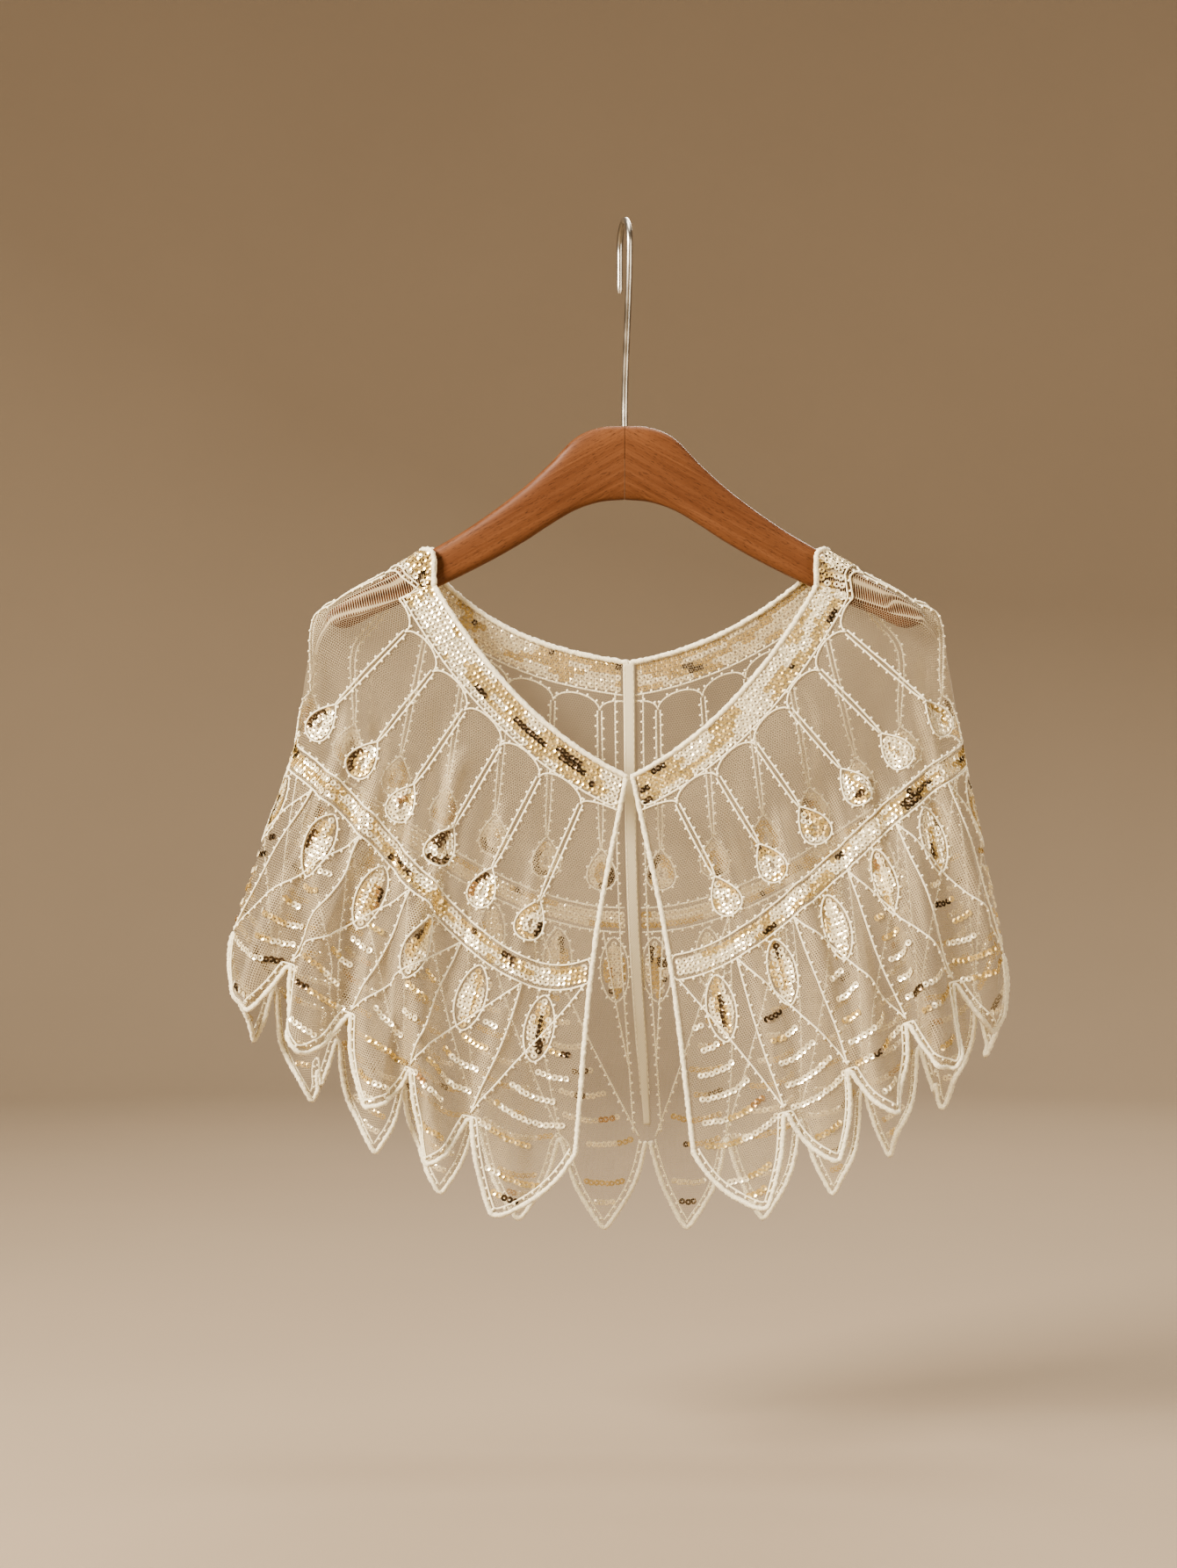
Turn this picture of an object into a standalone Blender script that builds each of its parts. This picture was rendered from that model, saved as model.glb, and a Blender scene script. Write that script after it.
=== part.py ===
"""Short evening cape of embroidered net, hanging on a wooden coat hanger with a long wire hook.

Metres, +Z up. The origin is the underside of the hook's crown, where a rail carries the hanger.
+X is to the right as the front of the cape is looked at, and +Y points to its back.

The cape is cut in two halves that are sewn together at the centre back and open down the front.
Each half is a surface of two numbers. The first, along, runs from 0 at the front edge round the
side to 1 at the back seam, and is the share of the length of the ring at that level. The second,
level, is 0 at the neck edge, 1 at the top of the middle band, 2 at the notches of the hem and 3 at
the points of the hem. Every piece that lies on the net is made from the net's own points, moved out.
"""

import math

import bmesh
import bpy
import numpy as np

# Cloth
NET_WALL = 0.0010
SEAM_GAP = 0.0003
BAND_WALL = 0.0008
EDGE_WALL = 0.0008
NECKBAND_WIDTH = 0.024
MIDDLE_BAND_WIDTH = 0.016
EDGE_WIDTH = 0.0030
SEAM_TAPE_WIDTH = 0.0085
SEAM_TAPE_WALL = 0.0006
CAPE_SHIFT = 0.0028

# Petals of the hem of each half, as shares of the ring, and their usual width and length
PETALS = 11
FIRST_PETAL_SHARE = 0.11
PETAL_POINT_ROUND = 0.24
PETAL_POINT_LEAN = 0.20
PETAL_WIDTH = 0.052
PETAL_LENGTH = 0.055

# Cells of the panels: columns of a petal, rows over the shoulder by their level, and rows between
# the middle band and the edge by their share of that stretch
PETAL_COLUMNS = 7
SHOULDER_LEVELS = (0.30, 0.40, 0.50, 0.64, 0.82, 1.0)
SKIRT_SHARES = (0.0, 0.27, 0.54, 0.78, 1.0)
BAND_INSET = 0.10
WIDEST_EDGE = 0.0053

# Hanger
ARM_THICKNESS = 0.0115
ARM_CORNER_POWER = 3.2
ARM_STATIONS = 20
ARM_RING_POINTS = 14
CLOTH_SEAT = 0.0026
CLOTH_SIDE_ROOM = 0.0035
WIRE_RADIUS = 0.0021
HOOK_INSIDE_RADIUS = 0.0150
HOOK_TURN = math.radians(10)
HOOK_TAIL_BOTTOM = -0.0425
HOOK_STRAIGHT = 0.004
BORE_DEPTH = 0.022
BORE_CLEARANCE = 0.0003
CUTTER_SPARE = 0.010
ARM_END_NARROWING = 0.8

# The arm of the hanger, a row for each section: distance from the middle, and top and bottom heights
ARM_SECTIONS = {
    "reach": (0.000, 0.016, 0.031, 0.048, 0.062, 0.076, 0.104, 0.130, 0.160, 0.182, 0.191),
    "top": (
        -0.1295, -0.1306, -0.1368, -0.1538, -0.1668, -0.1780,
        -0.1975, -0.2125, -0.2300, -0.2430, -0.2505,
    ),
    "bottom": (
        -0.1768, -0.1783, -0.1832, -0.1930, -0.2022, -0.2105,
        -0.2252, -0.2375, -0.2505, -0.2590, -0.2560,
    ),
}

# The front edge of a half at each level: how far it stands from the middle, its height, its depth,
# and how far it sways to the right
FRONT_EDGE = {
    "level": (0.0, 1.0, 2.0, 3.0),
    "x": (0.0012, 0.0228, 0.0358, 0.0420),
    "z": (-0.3536, -0.4675, -0.5910, -0.6440),
    "depth": (0.0185, 0.0320, 0.0480, 0.0540),
    "sway": (0.0000, 0.0010, 0.0030, 0.0030),
}

# The outermost line of a half, over the arm of the hanger and down the side
SIDE_LINE = {
    "level": (0.0, 0.345, 0.483, 0.71, 1.0, 1.5, 2.0, 3.0),
    "x": (0.1265, 0.1750, 0.1955, 0.2050, 0.2130, 0.2310, 0.2480, 0.2420),
    "z": (-0.2092, -0.2372, -0.2475, -0.2850, -0.3320, -0.3980, -0.4640, -0.5080),
}

# The back seam at each level: its height, its depth, and how far it sways to the right
BACK_SEAM = {
    "level": (0.0, 1.0, 2.0, 3.0),
    "z": (-0.2798, -0.4395, -0.5935, -0.6500),
    "depth": (0.0165, 0.0300, 0.0450, 0.0500),
    "sway": (0.0000, 0.0030, 0.0130, 0.0130),
}

# How steeply each layer of a ring rises, at its end in the middle of the cape and at the side: a
# straight line from end to end has the slope 1 at both, and 0 at the side is a level turn
RISE = {
    "level": (0.0, 0.5, 1.0, 2.0, 3.0),
    "right_front_middle": (0.45, 0.35, 0.10, 0.50, 0.65),
    "left_front_middle": (0.45, 0.10, -0.85, 0.10, 0.20),
    "front_side": (1.70, 0.90, 0.35, 0.10, 0.10),
    "back_middle": (0.30, 0.15, -0.10, -0.20, -0.20),
    "right_back_side": (1.85, 1.50, 1.25, 2.20, 2.40),
    "left_back_side": (2.30, 1.50, 1.25, 2.20, 2.40),
}

# What else sets the halves apart: how far the left reaches out at the neck, and the flare and the
# lift of the sides at the hem
HALVES = {
    "right": {"sign": 1, "neck_reach": 0.0000, "flare": -0.008, "lift": -0.006},
    "left": {"sign": -1, "neck_reach": 0.0055, "flare": 0.006, "lift": 0.008},
}

# Folds that hang from the shoulders, a row for each: half, layer, distance from the middle at the
# middle band and at the hem, half width, and how far the crest stands out at the hem
FOLDS = (
    ("right", "front", 0.072, 0.080, 0.018, 0.004),
    ("right", "front", 0.108, 0.117, 0.013, 0.008),
    ("right", "front", 0.139, 0.150, 0.011, 0.013),
    ("right", "front", 0.174, 0.187, 0.011, 0.018),
    ("right", "front", 0.203, 0.220, 0.010, 0.006),
    ("right", "back", 0.060, 0.068, 0.018, 0.005),
    ("right", "back", 0.102, 0.112, 0.013, 0.010),
    ("right", "back", 0.137, 0.149, 0.011, 0.015),
    ("right", "back", 0.168, 0.185, 0.012, 0.010),
    ("right", "back", 0.196, 0.216, 0.012, 0.004),
    ("left", "front", 0.090, 0.086, 0.016, 0.004),
    ("left", "front", 0.138, 0.128, 0.012, 0.020),
    ("left", "front", 0.164, 0.163, 0.010, 0.010),
    ("left", "front", 0.187, 0.196, 0.010, 0.014),
    ("left", "front", 0.205, 0.230, 0.010, 0.006),
    ("left", "back", 0.052, 0.060, 0.018, 0.004),
    ("left", "back", 0.094, 0.104, 0.013, 0.009),
    ("left", "back", 0.130, 0.141, 0.011, 0.013),
    ("left", "back", 0.165, 0.178, 0.012, 0.009),
    ("left", "back", 0.194, 0.214, 0.011, 0.008),
)
FOLD_START_LEVEL = 0.40
FOLD_FULL_LEVEL = 1.90

RING_STEPS = 160
RING_SAMPLES = 481
LEVEL_SAMPLES = 151
SIDE_ROUND = 1.9
DEPTH_POWER = 2.6
FOLD_END_POWER = 10

COLORS = {
    "net": (0.78, 0.72, 0.58),
    "cord": (0.86, 0.80, 0.66),
    "sequin": (0.80, 0.66, 0.38),
    "wood": (0.36, 0.14, 0.06),
    "wire": (0.62, 0.58, 0.50),
}


def smooth_step(x):
    """0 below 0, 1 above 1, and a smooth rise between."""
    x = np.clip(x, 0.0, 1.0)
    return x * x * (3.0 - 2.0 * x)


def smooth_column(table, key, column, at):
    """A column of a table read between its rows, on a cubic that keeps the rows' slopes."""
    knots = np.array(table[key])
    values = np.array(table[column])
    slopes = np.gradient(values, knots)
    at = np.clip(at, knots[0], knots[-1])
    i = np.clip(np.searchsorted(knots, at, side="right") - 1, 0, len(knots) - 2)
    step = knots[i + 1] - knots[i]
    t = (at - knots[i]) / step
    return (
        (2 * t**3 - 3 * t**2 + 1) * values[i]
        + (t**3 - 2 * t**2 + t) * step * slopes[i]
        + (3 * t**2 - 2 * t**3) * values[i + 1]
        + (t**3 - t**2) * step * slopes[i + 1]
    )


def fold_rise(half, layer, x, level):
    """How far the folds of one layer stand out at distance x from the middle."""
    grown = smooth_step((level - FOLD_START_LEVEL) / (FOLD_FULL_LEVEL - FOLD_START_LEVEL))
    rise = np.zeros_like(x)
    for fold_half, fold_layer, band_x, hem_x, width, depth in FOLDS:
        if (fold_half, fold_layer) == (half, layer):
            middle = band_x + (hem_x - band_x) * max(level - 1.0, 0.0)
            rise += depth * grown * np.exp(-(((x - middle) / width) ** 2))
    return rise


def rise_share(share, middle_slope, side_slope):
    """The share of a layer's rise that is reached at a share of its length, on one cubic."""
    cubic = share**3
    square = share**2
    return (
        middle_slope * (cubic - 2 * square + share) + 3 * square - 2 * cubic + side_slope * (cubic - square)
    )


def run_along(line):
    """The distance along a line of points, at each of them."""
    return np.concatenate([[0.0], np.cumsum(np.linalg.norm(np.diff(line, axis=0), axis=1))])


def ring(half, level):
    """One ring of a half at a level, as points spread evenly from the front edge to the back seam.

    In plan each of its two layers runs straight across from the middle and turns round the side, and
    the folds stand out square to it. Its height rises with the length of that plan line, so a ring
    climbs within a fold as it does beside it.
    """
    spec = HALVES[half]
    hem_share = min(max(level - 1.0, 0.0), 1.0)
    neck_share = max(1.0 - level, 0.0)
    side_x = smooth_column(SIDE_LINE, "level", "x", level)
    side_x += spec["flare"] * hem_share + spec["neck_reach"] * neck_share
    side_z = smooth_column(SIDE_LINE, "level", "z", level) + spec["lift"] * hem_share
    ends = {
        "front": [smooth_column(FRONT_EDGE, "level", key, level) for key in ("x", "depth", "z")],
        "back": [SEAM_GAP / 2] + [smooth_column(BACK_SEAM, "level", key, level) for key in ("depth", "z")],
    }
    slope_names = {
        "front": (f"{half}_front_middle", "front_side"),
        "back": ("back_middle", f"{half}_back_side"),
    }
    t = np.linspace(0.0, 1.0, RING_STEPS)
    eased = 1.0 - (1.0 - t) ** SIDE_ROUND
    layers = []
    for layer, facing in (("front", -1), ("back", 1)):
        end_x, depth, end_z = ends[layer]
        plan = np.stack([end_x + (side_x - end_x) * eased, facing * depth * (1.0 - t**DEPTH_POWER)], axis=1)
        out = np.stack([-facing * np.gradient(plan[:, 1]), facing * np.gradient(plan[:, 0])], axis=1)
        out /= np.linalg.norm(out, axis=1, keepdims=True)
        plan += (fold_rise(half, layer, plan[:, 0], level) * (1.0 - t**FOLD_END_POWER))[:, None] * out
        sway = smooth_column(FRONT_EDGE if layer == "front" else BACK_SEAM, "level", "sway", level)
        plan[:, 0] += spec["sign"] * sway * (1.0 - eased)
        run = run_along(plan)
        slopes = [smooth_column(RISE, "level", key, level) for key in slope_names[layer]]
        height = end_z + (side_z - end_z) * rise_share(run / run[-1], *slopes)
        layers.append(np.column_stack([plan, height]))
    line = np.concatenate([layers[0], layers[1][-2::-1]])
    run = run_along(line)
    even = np.linspace(0.0, run[-1], RING_SAMPLES)
    return np.stack([np.interp(even, run, line[:, k]) for k in range(3)], axis=1)


def arm_height(edge, reach):
    """The height of the top or bottom of the hanger's arm."""
    return smooth_column(ARM_SECTIONS, "reach", edge, reach)


def rest_on_arm(points):
    """Lifts the points that would sink into the hanger's arm until they lie on it."""
    reach = np.abs(points[..., 0])
    share = np.abs(points[..., 1]) / (ARM_THICKNESS / 2 + CLOTH_SIDE_ROOM)
    over = (share < 1.0) & (reach < ARM_SECTIONS["reach"][-1])
    top = arm_height("top", reach)
    half_height = (top - arm_height("bottom", reach)) / 2
    crown = (1.0 - np.clip(share, 0.0, 1.0) ** ARM_CORNER_POWER) ** (1 / ARM_CORNER_POWER)
    seat = top - half_height * (1.0 - crown) + CLOTH_SEAT
    lifted = points.copy()
    lifted[..., 2] = np.where(over, np.maximum(points[..., 2], seat), points[..., 2])
    return lifted


def draped_half(half):
    """The surface of one half as an array of points, level by ring position, in the cape's place."""
    points = np.stack([ring(half, level) for level in np.linspace(0.0, 3.0, LEVEL_SAMPLES)])
    points[..., 0] = points[..., 0] * HALVES[half]["sign"] + CAPE_SHIFT
    return rest_on_arm(points)


def on_surface(surface, along, level):
    """The points of a surface at arrays of ring positions and levels."""
    i = np.clip(np.asarray(level) / 3.0, 0.0, 1.0) * (LEVEL_SAMPLES - 1)
    j = np.clip(np.asarray(along), 0.0, 1.0) * (RING_SAMPLES - 1)
    i0 = np.minimum(i.astype(int), LEVEL_SAMPLES - 2)
    j0 = np.minimum(j.astype(int), RING_SAMPLES - 2)
    u = (i - i0)[..., None]
    w = (j - j0)[..., None]
    near = surface[i0, j0] * (1 - w) + surface[i0, j0 + 1] * w
    far = surface[i0 + 1, j0] * (1 - w) + surface[i0 + 1, j0 + 1] * w
    return near * (1 - u) + far * u


def level_below(surface, along, start, distance):
    """The level that lies a distance down the cloth from a start level, for each ring position."""
    levels = np.linspace(0.0, 3.0, LEVEL_SAMPLES)
    found = []
    for a, s, d in zip(*np.broadcast_arrays(along, start, distance)):
        line = on_surface(surface, np.full(LEVEL_SAMPLES, a), levels)
        run = run_along(line)
        found.append(np.interp(np.interp(s, levels, run) + d, run, levels))
    return np.array(found)


def petal_bounds():
    """Ring positions of the notches between the hem's petals."""
    rest = np.linspace(FIRST_PETAL_SHARE, 1.0, PETALS)
    return np.concatenate([[0.0], rest])


def petal_tip_share(low):
    """Where in a petal its point lies: past its middle near the front, and at it by the back seam."""
    return 0.5 + PETAL_POINT_LEAN * (1.0 - low)


def hem_level(along):
    """The level of the hem: petals with nearly straight sides and a rounded point."""
    bounds = petal_bounds()
    k = np.clip(np.searchsorted(bounds, along, side="right") - 1, 0, PETALS - 1)
    share = (along - bounds[k]) / (bounds[k + 1] - bounds[k])
    tip = petal_tip_share(bounds[k])
    off = np.where(share < tip, (tip - share) / tip, (share - tip) / (1.0 - tip))
    r = PETAL_POINT_ROUND
    return 2.0 + (math.sqrt(1 + r * r) - np.sqrt(off**2 + r * r)) / (math.sqrt(1 + r * r) - r)


def panel_grid(surface):
    """Points of the net panel of a half, row by column, from the neck edge to the hem."""
    bounds = petal_bounds()
    columns = [0.0, EDGE_WIDTH / (PETALS * PETAL_WIDTH)]
    for low, high in zip(bounds[:-1], bounds[1:]):
        tip = petal_tip_share(low)
        before = np.linspace(0.0, tip, PETAL_COLUMNS // 2 + 2)[1:]
        after = np.linspace(tip, 1.0, PETAL_COLUMNS - PETAL_COLUMNS // 2)[1:]
        columns += list(low + (high - low) * np.concatenate([before, after]))
    along = np.array(columns)
    hem = hem_level(along)
    neckband = level_below(surface, along, 0.0, NECKBAND_WIDTH)
    band = level_below(surface, along, 1.0, MIDDLE_BAND_WIDTH)
    slope = np.gradient(hem * PETAL_LENGTH, along * PETALS * PETAL_WIDTH)
    inner = hem - np.minimum(EDGE_WIDTH * np.sqrt(1.0 + slope**2), WIDEST_EDGE) / PETAL_LENGTH
    rows = [np.zeros_like(along), neckband]
    rows += [np.full_like(along, level) for level in SHOULDER_LEVELS]
    rows += [band + (inner - band) * share for share in SKIRT_SHARES]
    rows.append(hem)
    level = np.stack(rows)
    return on_surface(surface, np.broadcast_to(along, level.shape), level)


def between(points, row, column):
    """Points of a grid at rows and columns that may fall between its own, on its flat faces."""
    rows, columns = points.shape[:2]
    r0 = np.clip(np.floor(row).astype(int), 0, rows - 2)
    c0 = np.clip(np.floor(column).astype(int), 0, columns - 2)
    u = (row - r0)[..., None]
    w = (column - c0)[..., None]
    top = points[r0, c0] * (1 - w) + points[r0, c0 + 1] * w
    low = points[r0 + 1, c0] * (1 - w) + points[r0 + 1, c0 + 1] * w
    return top * (1 - u) + low * u


def new_object(name, mesh, color, roughness, metallic, collection):
    """Links a mesh as a named object with its own material."""
    material = bpy.data.materials.new(name)
    material.use_nodes = True
    shader = material.node_tree.nodes["Principled BSDF"]
    shader.inputs["Base Color"].default_value = (*color, 1.0)
    shader.inputs["Roughness"].default_value = roughness
    shader.inputs["Metallic"].default_value = metallic
    mesh.materials.append(material)
    obj = bpy.data.objects.new(name, mesh)
    collection.objects.link(obj)
    return obj


def sheet_of(points, sign, keep=None):
    """A sheet through a grid of points, of all its cells or of those that keep marks.

    Every cell is split along the same diagonal, so that sheets laid on each other stay parallel.
    """
    rows, columns = points.shape[:2]
    sheet = bmesh.new()
    bmesh.ops.create_grid(sheet, x_segments=columns - 1, y_segments=rows - 1, size=1.0)
    for vertex, spot in zip(sheet.verts, points.reshape(-1, 3)):
        vertex.co = spot
    if keep is not None:
        unwanted = [face for face, wanted in zip(sheet.faces, keep.reshape(-1)) if not wanted]
        bmesh.ops.delete(sheet, geom=unwanted, context="FACES")
    if sign > 0:
        bmesh.ops.reverse_faces(sheet, faces=sheet.faces)
    bmesh.ops.triangulate(sheet, faces=sheet.faces, quad_method="FIXED")
    sheet.normal_update()
    return sheet


def grid_normals(points, sign):
    """The outward normals of a sheet at its points."""
    sheet = sheet_of(points, sign)
    normals = np.array([vertex.normal[:] for vertex in sheet.verts]).reshape(points.shape)
    sheet.free()
    return normals


def cloth(name, points, sign, wall, side, color, collection, keep=None, metallic=0.0, roughness=0.8):
    """A sheet as a wall, grown to both sides of its points for side 0 and outwards for side 1."""
    sheet = sheet_of(points, sign, keep)
    mesh = bpy.data.meshes.new(name)
    sheet.to_mesh(mesh)
    sheet.free()
    obj = new_object(name, mesh, color, roughness, metallic, collection)
    thickness = obj.modifiers.new("wall", "SOLIDIFY")
    thickness.thickness = wall
    thickness.offset = side


def laid_on(points, normals, row, column, side=1):
    """Points that lie on a panel, just clear of its outside, or of its inside for side -1."""
    lift = side * (NET_WALL / 2 + SEAM_GAP)
    return between(points, row, column) + between(normals, row, column) * lift


def make_half(half, collection):
    """The net panel of a half with its neckband, middle band and corded edge.

    The bands fill the rows of cells that the panel has for them, and the edge fills the panel's first
    column and last row. They stop a small part of a cell short of the seam and of each other.
    """
    sign = HALVES[half]["sign"]
    points = panel_grid(draped_half(half))
    normals = grid_normals(points, sign)
    rows, columns = points.shape[:2]
    cloth(f"net_{half}", points, sign, NET_WALL, 0, COLORS["net"], collection)

    at_seam = columns - 1 - BAND_INSET / 2
    across = np.concatenate([[1 + BAND_INSET], np.arange(2.0, columns - 1), [at_seam]])
    band_row = 1.0 + len(SHOULDER_LEVELS)
    for name, high in (("neckband", 0.0), ("middle_band", band_row)):
        row, column = np.meshgrid([high, high + 1], across, indexing="ij")
        band = laid_on(points, normals, row, column)
        cloth(f"{name}_{half}", band, sign, BAND_WALL, 1, COLORS["sequin"], collection, None, 0.6, 0.35)

    row, column = np.meshgrid(np.arange(float(rows)), np.arange(float(columns)), indexing="ij")
    column[:, -1] = at_seam
    edge = laid_on(points, normals, row, column)
    keep = np.zeros((rows - 1, columns - 1), bool)
    keep[-1, :] = True
    keep[:, 0] = True
    cloth(f"corded_edge_{half}", edge, sign, EDGE_WALL, 1, COLORS["cord"], collection, keep)
    return points, normals


def make_seam_tape(halves, collection):
    """The narrow tape inside the cape that covers the seam, from the neck edge to near the hem."""
    sides = []
    for half in ("left", "right"):
        points, normals = halves[half]
        rows, columns = points.shape[:2]
        row = np.arange(float(rows))
        row[-1] -= 2 * BAND_INSET
        last = np.full(rows, columns - 1.0)
        cell = np.linalg.norm(points[:, -1] - points[:, -2], axis=1)
        out = last - np.minimum(SEAM_TAPE_WIDTH / 2 / cell, 1 - BAND_INSET)
        sides.append([laid_on(points, normals, row, at, -1) for at in (out, last)])
    left, right = sides
    middle = (left[1] + right[1]) / 2
    strip = np.stack([left[0], middle, right[0]], axis=1)
    cloth("back_seam_tape", strip, 1, SEAM_TAPE_WALL, 1, COLORS["cord"], collection)


def make_arm(side, sign, cutter, collection):
    """One wooden arm, lofted through rounded sections from the middle joint to its end."""
    ends = ARM_SECTIONS["reach"]
    reach = np.linspace(0.0, ends[-1], ARM_STATIONS)
    top = arm_height("top", reach)
    bottom = arm_height("bottom", reach)
    turn = np.linspace(0.0, 2 * math.pi, ARM_RING_POINTS, endpoint=False) + math.pi / ARM_RING_POINTS
    round_y = np.sign(np.cos(turn)) * np.abs(np.cos(turn)) ** (2 / ARM_CORNER_POWER)
    round_z = np.sign(np.sin(turn)) * np.abs(np.sin(turn)) ** (2 / ARM_CORNER_POWER)
    wood = bmesh.new()
    rings = []
    for station in range(ARM_STATIONS):
        x = sign * max(reach[station], SEAM_GAP / 2)
        narrow = ARM_END_NARROWING if station == ARM_STATIONS - 1 else 1.0
        half_height = (top[station] - bottom[station]) / 2
        middle = (top[station] + bottom[station]) / 2
        ring_points = [
            wood.verts.new((x, narrow * ARM_THICKNESS / 2 * y, middle + half_height * z))
            for y, z in zip(round_y, round_z)
        ]
        rings.append(ring_points)
    for first, second in zip(rings[:-1], rings[1:]):
        for i in range(ARM_RING_POINTS):
            j = (i + 1) % ARM_RING_POINTS
            wood.faces.new((first[i], first[j], second[j], second[i]))
    wood.faces.new(rings[0])
    wood.faces.new(rings[-1])
    bmesh.ops.recalc_face_normals(wood, faces=wood.faces)
    mesh = bpy.data.meshes.new(f"hanger_arm_{side}")
    wood.to_mesh(mesh)
    wood.free()
    arm = new_object(f"hanger_arm_{side}", mesh, COLORS["wood"], 0.45, 0.0, collection)
    bore = arm.modifiers.new("hook_bore", "BOOLEAN")
    bore.operation = "DIFFERENCE"
    bore.object = cutter


def make_bore_cutter(collection):
    """The cutter of the hole in the middle joint that takes the stem of the hook."""
    height = BORE_DEPTH + CUTTER_SPARE
    mesh = bpy.data.meshes.new("hook_bore_cutter")
    drill = bmesh.new()
    radius = WIRE_RADIUS + BORE_CLEARANCE
    bmesh.ops.create_cone(
        drill, cap_ends=True, segments=12, radius1=radius, radius2=radius, depth=height
    )
    drill.to_mesh(mesh)
    drill.free()
    cutter = bpy.data.objects.new("hook_bore_cutter", mesh)
    cutter.location.z = ARM_SECTIONS["top"][0] - BORE_DEPTH + height / 2
    cutter.hide_render = True
    cutter.display_type = "WIRE"
    collection.objects.link(cutter)
    return cutter


def hook_points():
    """The middle of the wire: up from the bore, forward in a slow bend, over the crown and down."""
    radius = HOOK_INSIDE_RADIUS + WIRE_RADIUS
    bottom = ARM_SECTIONS["top"][0] - BORE_DEPTH + 2 * BORE_CLEARANCE
    bend_start = ARM_SECTIONS["top"][0] + HOOK_STRAIGHT
    stem_z = np.concatenate([[bottom], np.linspace(bend_start, -HOOK_INSIDE_RADIUS, 11)])
    lean = smooth_step((stem_z - bend_start) / (-HOOK_INSIDE_RADIUS - bend_start))
    stem = np.stack([-radius * lean, stem_z], axis=1)
    turn = np.linspace(math.pi, 0.0, 15)[1:-1]
    crown = np.stack([radius * np.cos(turn), -HOOK_INSIDE_RADIUS + radius * np.sin(turn)], axis=1)
    tail_z = np.linspace(-HOOK_INSIDE_RADIUS, HOOK_TAIL_BOTTOM, 3)
    tail = np.stack([np.full(3, radius), tail_z], axis=1)
    path = np.concatenate([stem, crown, tail])
    y, z = path[:, 0], path[:, 1]
    return np.stack([-y * math.sin(HOOK_TURN), y * math.cos(HOOK_TURN), z], axis=1)


def make_hook(collection):
    """The wire hook, a round bar along its path."""
    curve = bpy.data.curves.new("hanger_hook", "CURVE")
    curve.dimensions = "3D"
    curve.bevel_depth = WIRE_RADIUS
    curve.bevel_resolution = 2
    curve.use_fill_caps = True
    path = hook_points()
    spline = curve.splines.new("POLY")
    spline.points.add(len(path) - 1)
    for point, spot in zip(spline.points, path):
        point.co = (*spot, 1.0)
    new_object("hanger_hook", curve, COLORS["wire"], 0.3, 1.0, collection)


def main():
    for obj in list(bpy.data.objects):
        bpy.data.objects.remove(obj)
    parts = bpy.data.collections.new("evening_cape_on_hanger")
    cutters = bpy.data.collections.new("cutters")
    bpy.context.scene.collection.children.link(parts)
    bpy.context.scene.collection.children.link(cutters)
    halves = {half: make_half(half, parts) for half in HALVES}
    make_seam_tape(halves, parts)
    cutter = make_bore_cutter(cutters)
    for side, spec in HALVES.items():
        make_arm(side, spec["sign"], cutter, parts)
    make_hook(parts)


main()
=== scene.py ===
"""Looks of a short evening cape of embroidered net that hangs on a wooden hanger.

Metres, in the frame of the packed model: the origin is the underside of the hook's crown, +Z is up and
+Y points to the back of the cape. The file is laid out as an add-on whose operators each make one group
of pieces, and it is run as a script.

Each half of the cape is drawn on a chart of two numbers: along, the share of the ring from the front
edge (0) round the side to the back seam (1), and down, the distance from the neck edge along the cloth.
All the embroidery is laid out on that chart by rule and then carried onto the hanging cloth.
"""

import math

import bpy
import numpy as np
from bpy.props import FloatProperty, FloatVectorProperty, IntProperty, PointerProperty
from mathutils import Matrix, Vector


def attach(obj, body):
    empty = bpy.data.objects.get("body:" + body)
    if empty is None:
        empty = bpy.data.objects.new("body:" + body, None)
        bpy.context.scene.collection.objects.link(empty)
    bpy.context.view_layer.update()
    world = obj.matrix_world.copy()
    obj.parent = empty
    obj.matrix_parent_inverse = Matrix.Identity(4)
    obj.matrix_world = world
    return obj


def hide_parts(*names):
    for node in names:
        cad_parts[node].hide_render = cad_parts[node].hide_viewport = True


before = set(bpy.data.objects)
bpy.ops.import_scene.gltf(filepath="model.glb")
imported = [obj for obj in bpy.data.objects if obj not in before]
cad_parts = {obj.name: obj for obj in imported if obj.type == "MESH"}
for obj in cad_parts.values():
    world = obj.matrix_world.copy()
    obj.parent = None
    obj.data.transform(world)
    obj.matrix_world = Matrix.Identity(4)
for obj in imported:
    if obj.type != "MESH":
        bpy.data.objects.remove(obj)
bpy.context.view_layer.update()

bl_info = {
    "name": "Evening cape",
    "version": (1, 0, 0),
    "blender": (4, 5, 0),
    "location": "3D View > Sidebar > Cape",
    "description": "Makes the net, embroidery, sequins, hanger and stage of an evening cape",
    "category": "Object",
}

BODY = "root"
HALF_NAMES = ("left", "right")

# The form of the cape. Its tables repeat the ones that the packed model's source is built from
CAPE_SHIFT = 0.0028
SEAM_GAP = 0.0003
MIDDLE_BAND_WIDTH = 0.016
PETALS = 11
FIRST_PETAL_SHARE = 0.11
PETAL_POINT_ROUND = 0.24
PETAL_POINT_LEAN = 0.20
RING_STEPS = 160
RING_SAMPLES = 481
LEVEL_SAMPLES = 151
BAND_LEVEL = 1.0
NOTCH_LEVEL = 2.0
POINT_LEVEL = 3.0
SIDE_ROUND = 1.9
DEPTH_POWER = 2.6
FOLD_END_POWER = 10
FOLD_START_LEVEL = 0.40
FOLD_FULL_LEVEL = 1.90
CLOTH_SEAT = 0.0026
CLOTH_SIDE_ROOM = 0.0035

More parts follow.
